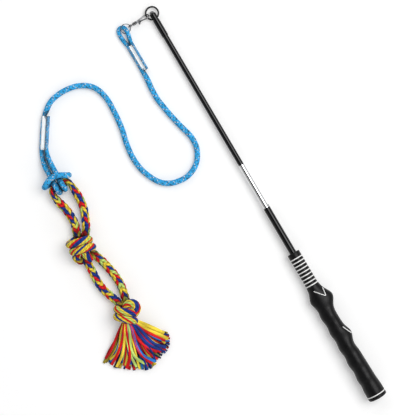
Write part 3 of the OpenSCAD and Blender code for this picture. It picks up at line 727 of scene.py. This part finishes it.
TAIL = [(-220.8, -138, 16), (-220.8, -126, 10.5), (-218.3, -112.3, 6.4), (-212.4, -97.6, 4.6),
        (-204.5, -85.3, 4.5), (-190.6, -64.6, 4.4), (-181.6, -54, 4.4)]


def on_table(points):
    """Points from the cord ring and the table, in millimetres, to metres in the shared frame."""
    return (np.asarray(points, float)[:, :3] + RING_P) * MM


def mirrored(points):
    """The same points on the other side of the hitch, in the opposite order."""
    return [(2 * HITCH_MIDDLE - x, y, h) for x, y, h in reversed(points)]


def hitch_route():
    """From the lower sleeve, round the toy's rope, across the front, and back."""
    turns = [math.radians(TURN_FIRST + TURN_STEP * i) for i in range(len(TURN_X))]
    around = [(x, TIE_Y + TURN_R * math.cos(a), TIE_H + TURN_R * math.sin(a)) for x, a in zip(TURN_X, turns)]
    turned = LEAD[-1:] + around
    front = FRONT + [FRONT_MIDDLE] + mirrored(FRONT)
    front = [(x, y - FRONT_LEAN * (x - HITCH_MIDDLE), h) for x, y, h in front]
    return LEAD[:-1] + turned + front + mirrored(turned) + TAIL


def cord_route():
    """The whole cord with its radius in the fourth column, in metres."""
    stops = [(*p, EYE_R) for p in EYE_ROUTE]
    stops += [(x, y, RUN_H, RUN_R) for x, y in RUN_ROUTE]
    for p in reversed(hitch_route()):
        tied = ease((TIED_FROM - p[1]) / TIED_LEAD)
        stops.append((*p, HITCH_R + (TIED_CORD_R - HITCH_R) * tied))
    stops = np.array(stops)
    return np.hstack([on_table(stops), stops[:, 3:] * MM])


CORD_STEP = 0.0008
cord_line = smooth_line(cord_route(), CORD_STEP)
CORD_LENGTH = float(run_length(cord_line)[-1])
print("cord", round(CORD_LENGTH, 3), "m in", len(cord_line), "steps")

# %% [markdown]
# ## The cord's braid
# The cord's cover is two sets of strands that wind both ways round it and pass over and under each other.
# Most are sky blue, and a few carry white and dark flecks. A bump pattern would leave the outline smooth, so
# the braid is real relief: at each point of the skin it is worked out which strand is on top, how high it
# stands there, and its dye, with painted shade in the grooves and a painted highlight on each crown.

# %% Braid of the cord
SKY, PALE = (0.03, 0.44, 0.92, 1), (0.08, 0.55, 0.95, 1)
SLATE, WHITE = (0.04, 0.07, 0.12, 1), (0.7, 0.78, 0.82, 1)
CARRIERS = 8
BRAID_PITCH = 0.0272
BRAID_PROUD, BRAID_SUNK, BRAID_ROUND = 0.00012, 0.00042, 0.7
CORD_SIDES = 32
CORD_SEED = 4
WOUND = {1: (SKY, SLATE, PALE, SKY, WHITE, SKY, SLATE, SKY),
         -1: (SKY, PALE, SKY, SLATE, SKY, SKY, WHITE, PALE)}
FLECK_CROWN = 0.72
GROOVE_SHADE, CROWN_LIGHT, UNEVEN_TONE = 0.72, 0.34, (0.75, 1.2)


def braid(run, sides):
    """Relief and dye at each point of a braid, from the strand that is on top there, with painted groove
    shade.
    """
    turn = np.linspace(0, CARRIERS, sides + 1)[None]
    along = (run / BRAID_PITCH * CARRIERS)[:, None]
    first, second = turn + along, turn - along
    on_top_first = (np.floor(first) + np.floor(second)) % 2 == 0
    across = np.where(on_top_first, first % 1, second % 1)
    carrier = (np.where(on_top_first, np.floor(first), np.floor(second)) % CARRIERS).astype(int)
    crown = np.sin(math.pi * across) ** BRAID_ROUND
    dyes = np.where(on_top_first[..., None], np.array(WOUND[1])[carrier], np.array(WOUND[-1])[carrier])
    dyes = np.where((crown > FLECK_CROWN)[..., None], dyes, np.array(SKY))
    dice = random.Random(CORD_SEED)
    uneven = np.array([[dice.uniform(*UNEVEN_TONE)] for _ in run])
    # painted shade: each strand is darker in the grooves beside it and lighter on its crown; uneven is the
    # cord's own uneven tone
    painted_shade_tone = (GROOVE_SHADE + CROWN_LIGHT * crown) * uneven
    dyes = dyes * np.dstack([painted_shade_tone] * 3 + [np.ones_like(crown)])
    return BRAID_PROUD * crown - BRAID_SUNK * (1 - crown), dyes


print("braid of", 2 * CARRIERS, "strands, one turn in", BRAID_PITCH, "m")

# %% [markdown]
# ## Finish of yarn
# Cord and rope are dyed yarn with fine fibres. Each dye could be a material of its own, but then a strand
# could not darken along its way with painted shade. So one finish reads the dye, painted shade included, from
# an attribute on the points, and the fibre group tones it, varies its roughness and gives it a bump.

# %% Yarn finish
SHEEN_ROUGH, YARN_SPECULAR = 0.5, 0.2
FIBRE_LOW, FIBRE_HIGH = 0.2, 0.8


def yarn_finish(name, twist, plies, depth, rough, fuzz=FUZZ_SCALE, sheen=0.04):
    """Dyed yarn: colour and painted shade from the dye attribute, toned by its fibres, with a little sheen.
    """
    material = bpy.data.materials.new(name)
    material.use_nodes = True
    tree = material.node_tree
    shader = tree.nodes["Principled BSDF"]
    shader.inputs["Sheen Weight"].default_value = sheen
    shader.inputs["Sheen Roughness"].default_value = SHEEN_ROUGH
    shader.inputs["Specular IOR Level"].default_value = YARN_SPECULAR
    coords = tree.nodes.new("ShaderNodeTexCoord")
    fibre = use_group(tree, YARN, Twist=twist, Plies=plies, Fuzz_Scale=fuzz)
    join(tree, coords.outputs["UV"], fibre.inputs["Along"])
    join(tree, coords.outputs["Object"], fibre.inputs["Place"])
    # the dye attribute holds each point's colour times its painted shade
    dye = tree.nodes.new("ShaderNodeAttribute")
    dye.attribute_name = "dye"
    toned = tree.nodes.new("ShaderNodeVectorMath")
    toned.operation = "SCALE"
    join(tree, dye.outputs["Color"], toned.inputs[0])
    join(tree, fibre.outputs["Tone"], toned.inputs["Scale"])
    join(tree, toned.outputs[0], shader.inputs["Base Color"])
    rubbed = ramp(tree, fibre.outputs["Height"], ((FIBRE_LOW, rough[1]), (FIBRE_HIGH, rough[0])))
    join(tree, rubbed, shader.inputs["Roughness"])
    bump = add_node(tree, "ShaderNodeBump", Strength=1.0, Distance=depth)
    join(tree, fibre.outputs["Height"], bump.inputs["Height"])
    join(tree, bump.outputs["Normal"], shader.inputs["Normal"])
    return material


blue_braid = yarn_finish("blue_braid", twist=300, plies=16, depth=0.00015, rough=(0.5, 0.75), fuzz=1600.0)
print("finish", blue_braid.name)

# %% [markdown]
# ## The cord itself
# Little light gets between strands that lie close together, and in a small render such gaps come out too
# bright. So painted shade darkens the dye at points that have another stretch of cord near them. The whole
# cord is one skin.

# %% Cord
CONTACT_SHADE_DEEPEST, CONTACT_SHADE_REACH, CONTACT_SHADE_FADE = 0.22, 0.0065, 1.2
NEAR, OWN_APART = 0.02, 0.016


def painted_contact_shade(points, line, apart=OWN_APART):
    """Painted shade of each point of a skin: less where a line, or a far stretch of its own, lies close to
    it.
    """
    run = run_length(line)
    shade = np.ones(points.shape[:2])
    for i, ring in enumerate(points):
        near = np.linalg.norm(line[:, :3] - ring[0], axis=1) < NEAR
        if apart:
            near &= np.abs(run - run[i]) > apart
        if near.any():
            gap = np.linalg.norm(ring[:, None] - line[None, near, :3], axis=2) - line[None, near, 3]
            shade[i] = np.clip(gap.min(axis=1) / CONTACT_SHADE_REACH, CONTACT_SHADE_DEEPEST, 1) ** CONTACT_SHADE_FADE
    return shade


def make_cord():
    relief, dyes = braid(run_length(cord_line), CORD_SIDES)
    points = tube_points(cord_line, cord_line[:, 3:] + relief, CORD_SIDES)
    # painted shade where another stretch of cord lies close
    dyes[..., :3] *= painted_contact_shade(points, cord_line)[..., None]
    bm = new_skin()
    lay_skin(bm, points, dyes, CORD_LENGTH)
    return finish_piece(bm, "braided_cord", blue_braid, "cord", "blue_braid",
                        "cord_eye", "cord_run", "cord_hitch")


cord = make_cord()

# %% [markdown]
# ## Clear sleeves
# Each doubled end of the cord is held in a clear sleeve, shrunk over both strands. Its section is drawn round
# two circles and pulled in between them. Glass would bend what lies behind it, and a thin film hardly does,
# so the skin is glossy and mostly see-through by its Alpha, with one opaque white band along it.

# %% Sleeves
SLEEVE_WALL, SLEEVE_SIDES, SLEEVE_STEP, SLEEVE_RUN = 0.0005, 40, 0.0015, 0.05
SLEEVE_FLAT = 0.97
RIPPLE, RIPPLES = 0.03, 9
END_PINCH, END_SHORT = 0.05, 12
BAND_EDGE, BAND_FULL = (0.80, 0.0), (0.86, 0.92)
FILM_LOW, FILM_HIGH = 0.03, 0.09


def clear_finish():
    """Clear plastic: mostly see-through, with one opaque white band along the turn that the dye attribute
    holds.
    """
    material = hard_finish("clear_sleeve", (0.84, 0.90, 0.94, 1), (0.97, 0.99, 1.0, 1),
                           gloss=(0.06, 0.16), grain=500, depth=0.00002)
    tree = material.node_tree
    shader = tree.nodes["Principled BSDF"]
    wear = next(n for n in tree.nodes if n.type == "GROUP")
    split = tree.nodes.new("ShaderNodeSeparateXYZ")
    join(tree, tree.nodes.new("ShaderNodeTexCoord").outputs["UV"], split.inputs[0])
    band = tree.nodes.new("ShaderNodeAttribute")
    band.attribute_name = "dye"
    away = arith(tree, "SUBTRACT", split.outputs["X"], band.outputs["Fac"])
    turn = arith(tree, "MULTIPLY", away, 2 * math.pi)
    white_band = ramp(tree, arith(tree, "COSINE", turn), (BAND_EDGE, BAND_FULL))
    film = ramp(tree, wear.outputs["Rub"], ((RUB_LOW, FILM_LOW), (RUB_HIGH, FILM_HIGH)))
    join(tree, arith(tree, "MAXIMUM", white_band, film), shader.inputs["Alpha"])
    return material


clear_sleeve = clear_finish()


def sleeve_section(strand_r, half_gap):
    """Radius at each turn of a skin round two strands, drawn in a little between them."""
    radii = []
    for k in range(SLEEVE_SIDES + 1):
        a = 2 * math.pi * k / SLEEVE_SIDES
        up, out = math.cos(a), abs(math.sin(a))
        reach = out * half_gap + math.sqrt(max(0.0, strand_r ** 2 - (half_gap * up) ** 2))
        flat = strand_r * SLEEVE_FLAT / max(TINY, abs(up))
        radii.append(min(reach, flat))
    return np.array(radii)


def make_sleeve(name, ends, strand_r, half_gap, band):
    """A clear skin between two ends on the table. band is the turn at which its opaque white band lies."""
    line = smooth_line(on_table(ends), SLEEVE_STEP)
    u = np.linspace(-1, 1, len(line))
    pinch = 1 + RIPPLE * np.cos(RIPPLES * u) * (1 - u ** 2) - END_PINCH * np.abs(u) ** END_SHORT
    section = sleeve_section(strand_r, half_gap) * MM
    points = tube_points(line, pinch[:, None] * section[None], SLEEVE_SIDES)
    bm = new_skin()
    lay_skin(bm, points, (band, band, band, 1), SLEEVE_RUN, ends=False)
    piece = finish_piece(bm, name + "_skin", clear_sleeve, "cord", "clear_sleeve", name)
    wall = piece.modifiers.new("wall", "SOLIDIFY")
    wall.thickness = SLEEVE_WALL
    wall.offset = -1
    return piece


upper_skin = make_sleeve("upper_sleeve", ((-7.5, -27, 3.9), (-7.5, -72, 3.9)),
                         strand_r=3.8, half_gap=3.3, band=0.0)
lower_skin = make_sleeve("lower_sleeve", ((-180, -55, 4.5), (-210, -100, 4.5)),
                         strand_r=4.1, half_gap=3.606, band=0.045)

# %% [markdown]
# ## The toy's yarns
# The toy is rope of soft, thick yarn in four colours. A bump on a plain tube could hint at it, but here every
# yarn is its own strand, so that it shows from any side. A yarn is flat against its rope, and painted shade
# darkens its dye at its sides, where it dips under another, and where the cord lies on it.

# %% Yarns of the toy
YELLOW, RED = (1.0, 0.76, 0.06, 1), (0.82, 0.009, 0.014, 1)
BLUE, LIME = (0.010, 0.045, 0.30, 1), (0.62, 0.84, 0.20, 1)
# NAVY_AND_SHADE is a dark navy yarn colour, and also the colour of the dark cores that are painted shade
NAVY_AND_SHADE, AZURE = (0.006, 0.010, 0.06, 1), (0.02, 0.22, 0.72, 1)
YARN_W, YARN_FLAT, YARN_SIDES = 0.35, 0.62, 8
SIDE_SHADE, SIDE_ROUND = 0.4, 0.5
toy_yarn = yarn_finish("toy_yarn", twist=160, plies=2, depth=0.0003, rough=(0.6, 0.85))


def lay_yarn(bm, yarn, radii, dye, depth, middle):
    """One yarn, flat against the rope's middle line, with painted shade at its sides and where depth is
    small.
    """
    along = np.gradient(yarn, axis=0)
    along /= np.linalg.norm(along, axis=1)[:, None]
    away = yarn - middle
    away -= along * (away * along).sum(1)[:, None]
    away /= np.linalg.norm(away, axis=1)[:, None]
    across = np.cross(along, away)
    a = np.linspace(0, 2 * math.pi, YARN_SIDES + 1)
    r = np.asarray(radii).reshape(-1, 1)
    up = (YARN_FLAT * r * np.cos(a))[..., None] * away[:, None]
    out = (r * np.sin(a))[..., None] * across[:, None]
    points = yarn[:, None] + up + out
    # painted shade: the yarn is darker at its sides than on its crown, and by depth
    crown = np.clip(np.cos(a), 0, 1) ** SIDE_ROUND
    shade = np.asarray(depth).reshape(-1, 1) * (SIDE_SHADE + (1 - SIDE_SHADE) * crown)
    dyes = np.concatenate([shade[..., None] * np.array(dye[:3]), np.ones((*shade.shape, 1))], axis=2)
    # painted shade where the cord lies on the yarn
    dyes[..., :3] *= painted_contact_shade(points, cord_line, 0.0)[..., None]
    lay_skin(bm, points, dyes, float(run_length(yarn)[-1]))


print("finish", toy_yarn.name)

# %% [markdown]
# ## The toy's braided rope
# The rope is a round plait of twelve yarns. Six wind one way and six the other, and each passes over two and
# under two, which makes six rows of slanting stitches along the rope. Laid by hand that would be thousands of
# points, so a sine wave lifts each yarn over its crossings and lets it dip under the next ones.

# %% Rope of the toy
PLAIT_ROWS, PLAIT_PITCH = 3, 0.050
PLAIT_R, PLAIT_SWAY, PLAIT_LEAN = 0.62, 0.17, 0.3
PLAIT_W, PLAIT_W_SWAY = 0.92, 0.1
PLAIT_SHADE, PLAIT_SHADE_SWAY = 0.75, 0.25
PLAIT_CORE, PLAIT_CORE_SIDES = 0.5, 8
END_FADE, END_SHADE = 0.016, 0.3
ROPE_STEP = 0.001


def lay_plait(bm, line, dyes, phase=0.0, roll=0.0):
    """Twelve yarns along a line with the rope's radius in its fourth column, in the colours of both ways."""
    r = line[:, 3]
    side, other = side_frames(line)
    run = run_length(line)
    wind = 2 * math.pi * run / PLAIT_PITCH + phase
    # painted shade: darker near the rope's ends, where it goes into a knot
    tucked = np.clip(np.minimum(run, run[-1] - run) / END_FADE, END_SHADE, 1)
    for way, colours in zip((1, -1), dyes):
        for k, dye in enumerate(colours):
            wound = wind + way * 2 * math.pi * k / len(colours)
            turn = way * (wound + PLAIT_LEAN / PLAIT_ROWS * np.cos(PLAIT_ROWS * wound))
            over = way * np.sin(PLAIT_ROWS * turn)
            reach = r * (PLAIT_R + PLAIT_SWAY * over)
            c, s = np.cos(turn + roll), np.sin(turn + roll)
            yarn = line[:, :3] + (reach * c)[:, None] * side + (reach * s)[:, None] * other
            width = r * YARN_W * (PLAIT_W + PLAIT_W_SWAY * over)
            # painted shade: darker where the yarn dips under others
            depth = tucked * (PLAIT_SHADE + PLAIT_SHADE_SWAY * over)
            lay_yarn(bm, yarn, width, dye, depth, line[:, :3])
    # a dark core under the yarns: painted shade in the gaps between them
    lay_skin(bm, tube_points(line, PLAIT_CORE * r, PLAIT_CORE_SIDES), NAVY_AND_SHADE, float(run[-1]))


ROPE_R, TIED_R, TIED_REACH = 7.0, 5.5, -176
LOOP_ROUTE = [(-233, -248, 14), (-230, -238, 10), (-226.5, -226, 7.4), (-226, -212, 7.2), (-227, -199, 7.4),
              (-229.8, -187, 9.5), (-232.3, -172, 13), (-230.6, -164.8, 15.1), (-226, TIE_Y, TIE_H),
              (-216, TIE_Y, TIE_H), (-206, TIE_Y, TIE_H), (-201.4, -164.5, 15.1), (-199.6, -172, 13),
              (-199.3, -187, 9.5), (-199.8, -200, 7.4), (-202, -212, 7.2), (-205.5, -222, 7.4),
              (-210, -233, 9), (-215, -243, 12), (-222, -252, 16)]
LEFT_LEG = [(-240, -279, 13), (-240.5, -300, 7.6), (-241.8, -320, 7.2), (-240.5, -338, 7.6), (-236, -352, 9),
            (-231, -365, 13), (-227, -377, 18)]
RIGHT_LEG = [(-226, -278, 13), (-218.6, -301, 7.6), (-213.8, -325, 7.2), (-212.6, -345, 8), (-215, -360, 11),
             (-218, -374, 16)]
ROPE_DYES = ((YELLOW, YELLOW, BLUE, YELLOW, LIME, RED), (BLUE, RED, YELLOW, BLUE, RED, BLUE))
LOOP_DYES = ((RED, YELLOW, LIME, RED, YELLOW, YELLOW), (BLUE, LIME, RED, BLUE, LIME, YELLOW))
LEG_DYES = ((BLUE, LIME, YELLOW, RED, YELLOW, BLUE), (YELLOW, RED, BLUE, YELLOW, BLUE, RED))


def rope_line(route, r=ROPE_R):
    """A smooth line through points on the table, with the rope's radius: less where the cord is tied."""
    stops = [[(TIED_R if p[1] > TIED_REACH else r) * MM] for p in route]
    return smooth_line(np.hstack([on_table(route), stops]), ROPE_STEP)


def make_ropes():
    bm = new_skin()
    lay_plait(bm, rope_line(LOOP_ROUTE), ROPE_DYES, roll=0.2)
    finish_piece(bm, "plaited_upper_loop", toy_yarn, "toy", "toy_yarn", "toy_upper_loop")
    bm = new_skin()
    lay_plait(bm, rope_line(LEFT_LEG), LEG_DYES, phase=0.6, roll=0.35)
    lay_plait(bm, rope_line(RIGHT_LEG), LOOP_DYES, phase=1.7)
    finish_piece(bm, "plaited_lower_legs", toy_yarn, "toy", "toy_yarn", "toy_lower_loop")


make_ropes()

# %% [markdown]
# ## Yarns in a knot
# Where a rope is pulled into a tight turn, its yarns lie long and side by side. The plait could go on through
# the knot, but its short stitches would stand up all over it. So in a knot the yarns wind slowly, all one
# way, round a dark core that is painted shade in the gaps between them.

# %% Twisted yarns of a knot
TWIST_R, TWIST_W, TWIST_TONE = 0.70, 0.25, 0.95
TWIST_CORE, TWIST_CORE_SIDES = 0.62, 12


def lay_twist(bm, line, dyes, pitch, phase=0.0):
    """Yarns side by side that wind slowly round a line, as they lie where a rope is pulled into a knot."""
    r = line[:, 3]
    side, other = side_frames(line)
    run = run_length(line)
    depth = np.full(len(line), TWIST_TONE)
    for k, dye in enumerate(dyes):
        turn = 2 * math.pi * (run / pitch + k / len(dyes)) + phase
        c, s = TWIST_R * r * np.cos(turn), TWIST_R * r * np.sin(turn)
        yarn = line[:, :3] + c[:, None] * side + s[:, None] * other
        lay_yarn(bm, yarn, r * TWIST_W, dye, depth, line[:, :3])
    # a dark core under the yarns: painted shade in the gaps between them
    lay_skin(bm, tube_points(line, TWIST_CORE * r, TWIST_CORE_SIDES), NAVY_AND_SHADE, float(run[-1]))


# %% [markdown]
# ## The knots
# Each knot is the same rope, wound twice round the two legs and pulled tight. Its whole path could be
# followed, but most of that is hidden, so only the turns that show are made, over a dark filling that is
# painted shade in the gaps between them. A short bight of rope and a tucked end stick out of the first knot,
# and one turn of the second rides up beside the legs.

# %% Knots
KNOT_PITCH, LOBE_PITCH = 0.056, 0.05
KNOT_STEPS, KNOT_PASSES = 96, 2
KNOT_DYES = (YELLOW, YELLOW, RED, BLUE, BLUE, YELLOW, LIME, RED, YELLOW, BLUE)
CORE_R, CORE_REACH, CORE_ROWS, CORE_SIDES = 13, 0.97, 15, 24
MIDDLE_KNOT, MIDDLE_TURN = (-234.5, -264, 22.8), -95
MIDDLE_REACH, MIDDLE_SPAN, MIDDLE_R = 15.6, (-15.2, 9.8), 7.2
MIDDLE_CORE, MIDDLE_CORE_LENGTH = (-234, -262, 22), 26
END_KNOT, END_TURN = (-228.8, -391.4, 21.5), -123
END_REACH, END_SPAN, END_R = 14.2, (-11.4, 11.4), 6.8
END_CORE_LENGTH = 28
BIGHT = [(-240, -262, 22), (-247, -268, 19), (-251, -275, 15), (-248, -281.5, 12), (-241, -281, 12)]
TUCK = [(-237, -258, 21), (-236.5, -268, 20.5), (-235, -279, 16), (-232, -288, 11)]
BIGHT_R, TUCK_R, LOBE_ROPE_R = 6.5, 8.0, 8.3
LOBE_MIDDLE, LOBE_R = (-215.4, -386.8), 8.0
LOBE_FIRST, LOBE_STEP, LOBE_STOPS = 150, 24, 12
LOBE_H, LOBE_RISE = 23, 5


def knot_axis(turn):
    """The direction of a knot's axis, which lies on the table."""
    return np.array((math.cos(math.radians(turn)), math.sin(math.radians(turn)), 0))


def wrap_line(middle, turn, reach, span, r):
    """Turns of rope about a knot's axis, from the underside round and back to it."""
    axis = knot_axis(turn)
    across = np.array((-axis[1], axis[0], 0))
    a = np.linspace(-math.pi, (2 * KNOT_PASSES - 1) * math.pi, KNOT_STEPS * KNOT_PASSES)
    along = np.linspace(*span, len(a))
    stops = np.array(middle) + along[:, None] * axis + (reach * np.sin(a))[:, None] * across
    stops[:, 2] += reach * np.cos(a)
    return np.hstack([on_table(stops), np.full((len(a), 1), r * MM)])


def lay_core(bm, middle, turn, length):
    """A round dark filling along the knot's axis, painted shade in the gaps between its turns."""
    u = np.linspace(-CORE_REACH, CORE_REACH, CORE_ROWS)
    line = on_table(np.array(middle) + (u * length / 2)[:, None] * knot_axis(turn))
    lay_skin(bm, tube_points(line, CORE_R * MM * np.sqrt(1 - u * u), CORE_SIDES), NAVY_AND_SHADE, length * MM)


def lobe_route():
    """The turn of the second knot that rides up beside the legs."""
    stops = []
    for i in range(LOBE_STOPS):
        a = math.radians(LOBE_FIRST - LOBE_STEP * i)
        up = LOBE_H + LOBE_RISE * math.sin(math.pi * i / (LOBE_STOPS - 1))
        stops.append((LOBE_MIDDLE[0] + LOBE_R * math.cos(a), LOBE_MIDDLE[1] + LOBE_R * math.sin(a), up))
    return stops


def make_knots():
    bm = new_skin()
    wraps = wrap_line(MIDDLE_KNOT, MIDDLE_TURN, MIDDLE_REACH, MIDDLE_SPAN, MIDDLE_R)
    lay_twist(bm, wraps, KNOT_DYES, -KNOT_PITCH)
    lay_plait(bm, rope_line(BIGHT, BIGHT_R), LEG_DYES, phase=0.3)
    lay_core(bm, MIDDLE_CORE, MIDDLE_TURN, MIDDLE_CORE_LENGTH)
    lay_twist(bm, rope_line(TUCK, TUCK_R), KNOT_DYES, KNOT_PITCH, phase=1.2)
    finish_piece(bm, "wrapped_middle_knot", toy_yarn, "toy", "toy_yarn", "toy_middle_knot")
    bm = new_skin()
    wraps = wrap_line(END_KNOT, END_TURN, END_REACH, END_SPAN, END_R)
    lay_twist(bm, wraps, KNOT_DYES, KNOT_PITCH, phase=0.9)
    lay_twist(bm, rope_line(lobe_route(), LOBE_ROPE_R), KNOT_DYES, LOBE_PITCH, phase=0.4)
    lay_core(bm, END_KNOT, END_TURN, END_CORE_LENGTH)
    finish_piece(bm, "wrapped_end_knot", toy_yarn, "toy", "toy_yarn", "toy_end_knot")


make_knots()

# %% [markdown]
# ## The tassel
# Below the last knot the rope is let out into loose yarns, cut off square. Hair would be quick to grow, but
# it has no faces. So each yarn is a flat ribbon that bends, crosses others and fans out over the table, in a
# heap that is thick at the knot and thin at its edge. The deep ones get painted shade. A few broad ones lie
# on top, at places read from the picture.

# %% Tassel
TASSEL_PLACE = (-230, -393)
TASSEL_FROM, TASSEL_UNTIL = 214.0, 307.0
TASSEL_LENGTH, TASSEL_UNEVEN, UNEVEN_ENDS = 83.0, 6.0, (-1.6, 0.5)
LONG_AT, LONG_W, LONG_BY = 263, 16, 8
SHORT_FROM, SHORT_LEAD, SHORT_BY = 292, 15, 9
TASSEL_SEED = 11
LOOSE_YARNS, FAN_SHIFT = 130, 9
BEND, BEND_UNEVEN, SWAY = 10, 7, 2.5
LOOSE_WIDTHS, LOOSE_LAYERS = (1.4, 2.3), 0.9
YARN_STOPS, YARN_FROM = (0, 0.2, 0.4, 0.6, 0.8, 1), 4
LOWEST, LOW_RISE = 1.3, 4
HIGH_RISE, HIGH_FALL, HIGH_END = 23.5, 1.1, 5
LOOSE_STEP, LOOSE_SIDES, LOOSE_FLAT, LOOSE_LEAN = 0.004, 8, 0.42, 0.4
WIDTH_AT, WIDTH_SHARE = (0, 0.3, 1), (0.6, 0.9, 1.0)
DEEP_SHADE = 0.2
loose_yarn = yarn_finish("loose_yarn", twist=25, plies=1, depth=0.00008, rough=(0.42, 0.65), fuzz=500.0,
                         sheen=0.05)
LOOSE_DYES = (RED, BLUE, YELLOW, RED, NAVY_AND_SHADE, BLUE, LIME, AZURE, RED, YELLOW)
TOP_YARNS = [(229, -14, YELLOW, 2.4), (223, -15, RED, 2.2), (240, -8, RED, 2.6), (251, 16, LIME, 2.1),
             (262, 26, LIME, 2.4), (268, 20, RED, 2.4), (272, 24, AZURE, 2.5), (280, 26, RED, 2.5),
             (285, 18, BLUE, 2.6), (291, 12, BLUE, 2.6), (296, 8, RED, 2.6), (300, 4, YELLOW, 2.8),
             (304, -4, YELLOW, 3.0), (234, 6, BLUE, 2.0), (246, 4, BLUE, 2.0)]


def lay_loose_yarn(bm, dice, turn, bend, dye, width, layer):
    """A ribbon from the knot's middle out over the table. layer is 0 for the lowest and 1 for the top."""
    sway = dice.uniform(-SWAY, SWAY)
    long = TASSEL_LENGTH + LONG_BY * swell(turn, LONG_AT, LONG_W)
    long -= SHORT_BY * ease((turn - SHORT_FROM) / SHORT_LEAD)
    long += TASSEL_UNEVEN * dice.uniform(*UNEVEN_ENDS)
    stops = []
    for s in YARN_STOPS:
        a = math.radians(turn + bend * (s - 1) * s * 2 + sway * math.sin(2 * math.pi * s))
        out = YARN_FROM + (long - YARN_FROM) * s
        low = LOWEST + LOW_RISE * (1 - s) ** 2
        high = HIGH_RISE * (1 - s) ** HIGH_FALL + HIGH_END * s
        up = low + layer * (high - low + LOWEST)
        stops.append((TASSEL_PLACE[0] + out * math.cos(a), TASSEL_PLACE[1] + out * math.sin(a), up))
    line = smooth_line(on_table(stops), LOOSE_STEP)
    widths = width * MM * np.interp(np.linspace(0, 1, len(line)), WIDTH_AT, WIDTH_SHARE)
    lean = (dice.uniform(-LOOSE_LEAN, LOOSE_LEAN), dice.uniform(-LOOSE_LEAN, LOOSE_LEAN), 1)
    # painted shade: yarns that lie deeper in the heap are darker
    painted_shade_tone = DEEP_SHADE + (1 - DEEP_SHADE) * layer
    points = tube_points(line, widths, LOOSE_SIDES, flat=LOOSE_FLAT, first=lean)
    lay_skin(bm, points, (*(painted_shade_tone * c for c in dye[:3]), 1), long * MM)


def make_tassel():
    dice = random.Random(TASSEL_SEED)
    fan = TASSEL_UNTIL - TASSEL_FROM
    bm = new_skin()
    for i in range(LOOSE_YARNS):
        share = (i + dice.uniform(-FAN_SHIFT, FAN_SHIFT)) / LOOSE_YARNS
        turn = TASSEL_FROM + fan * min(1, max(0, share))
        dye = LOOSE_DYES[dice.randrange(len(LOOSE_DYES))]
        lean = 2 * ease((turn - TASSEL_FROM) / fan) - 1
        bend = BEND * lean + dice.uniform(-BEND_UNEVEN, BEND_UNEVEN)
        width = dice.uniform(*LOOSE_WIDTHS)
        lay_loose_yarn(bm, dice, turn, bend, dye, width, LOOSE_LAYERS * dice.random())
    for turn, bend, dye, width in TOP_YARNS:
        lay_loose_yarn(bm, dice, turn, bend, dye, width, 1.0)
    finish_piece(bm, "loose_tassel", loose_yarn, "toy", "toy_yarn", "toy_tassel")


make_tassel()
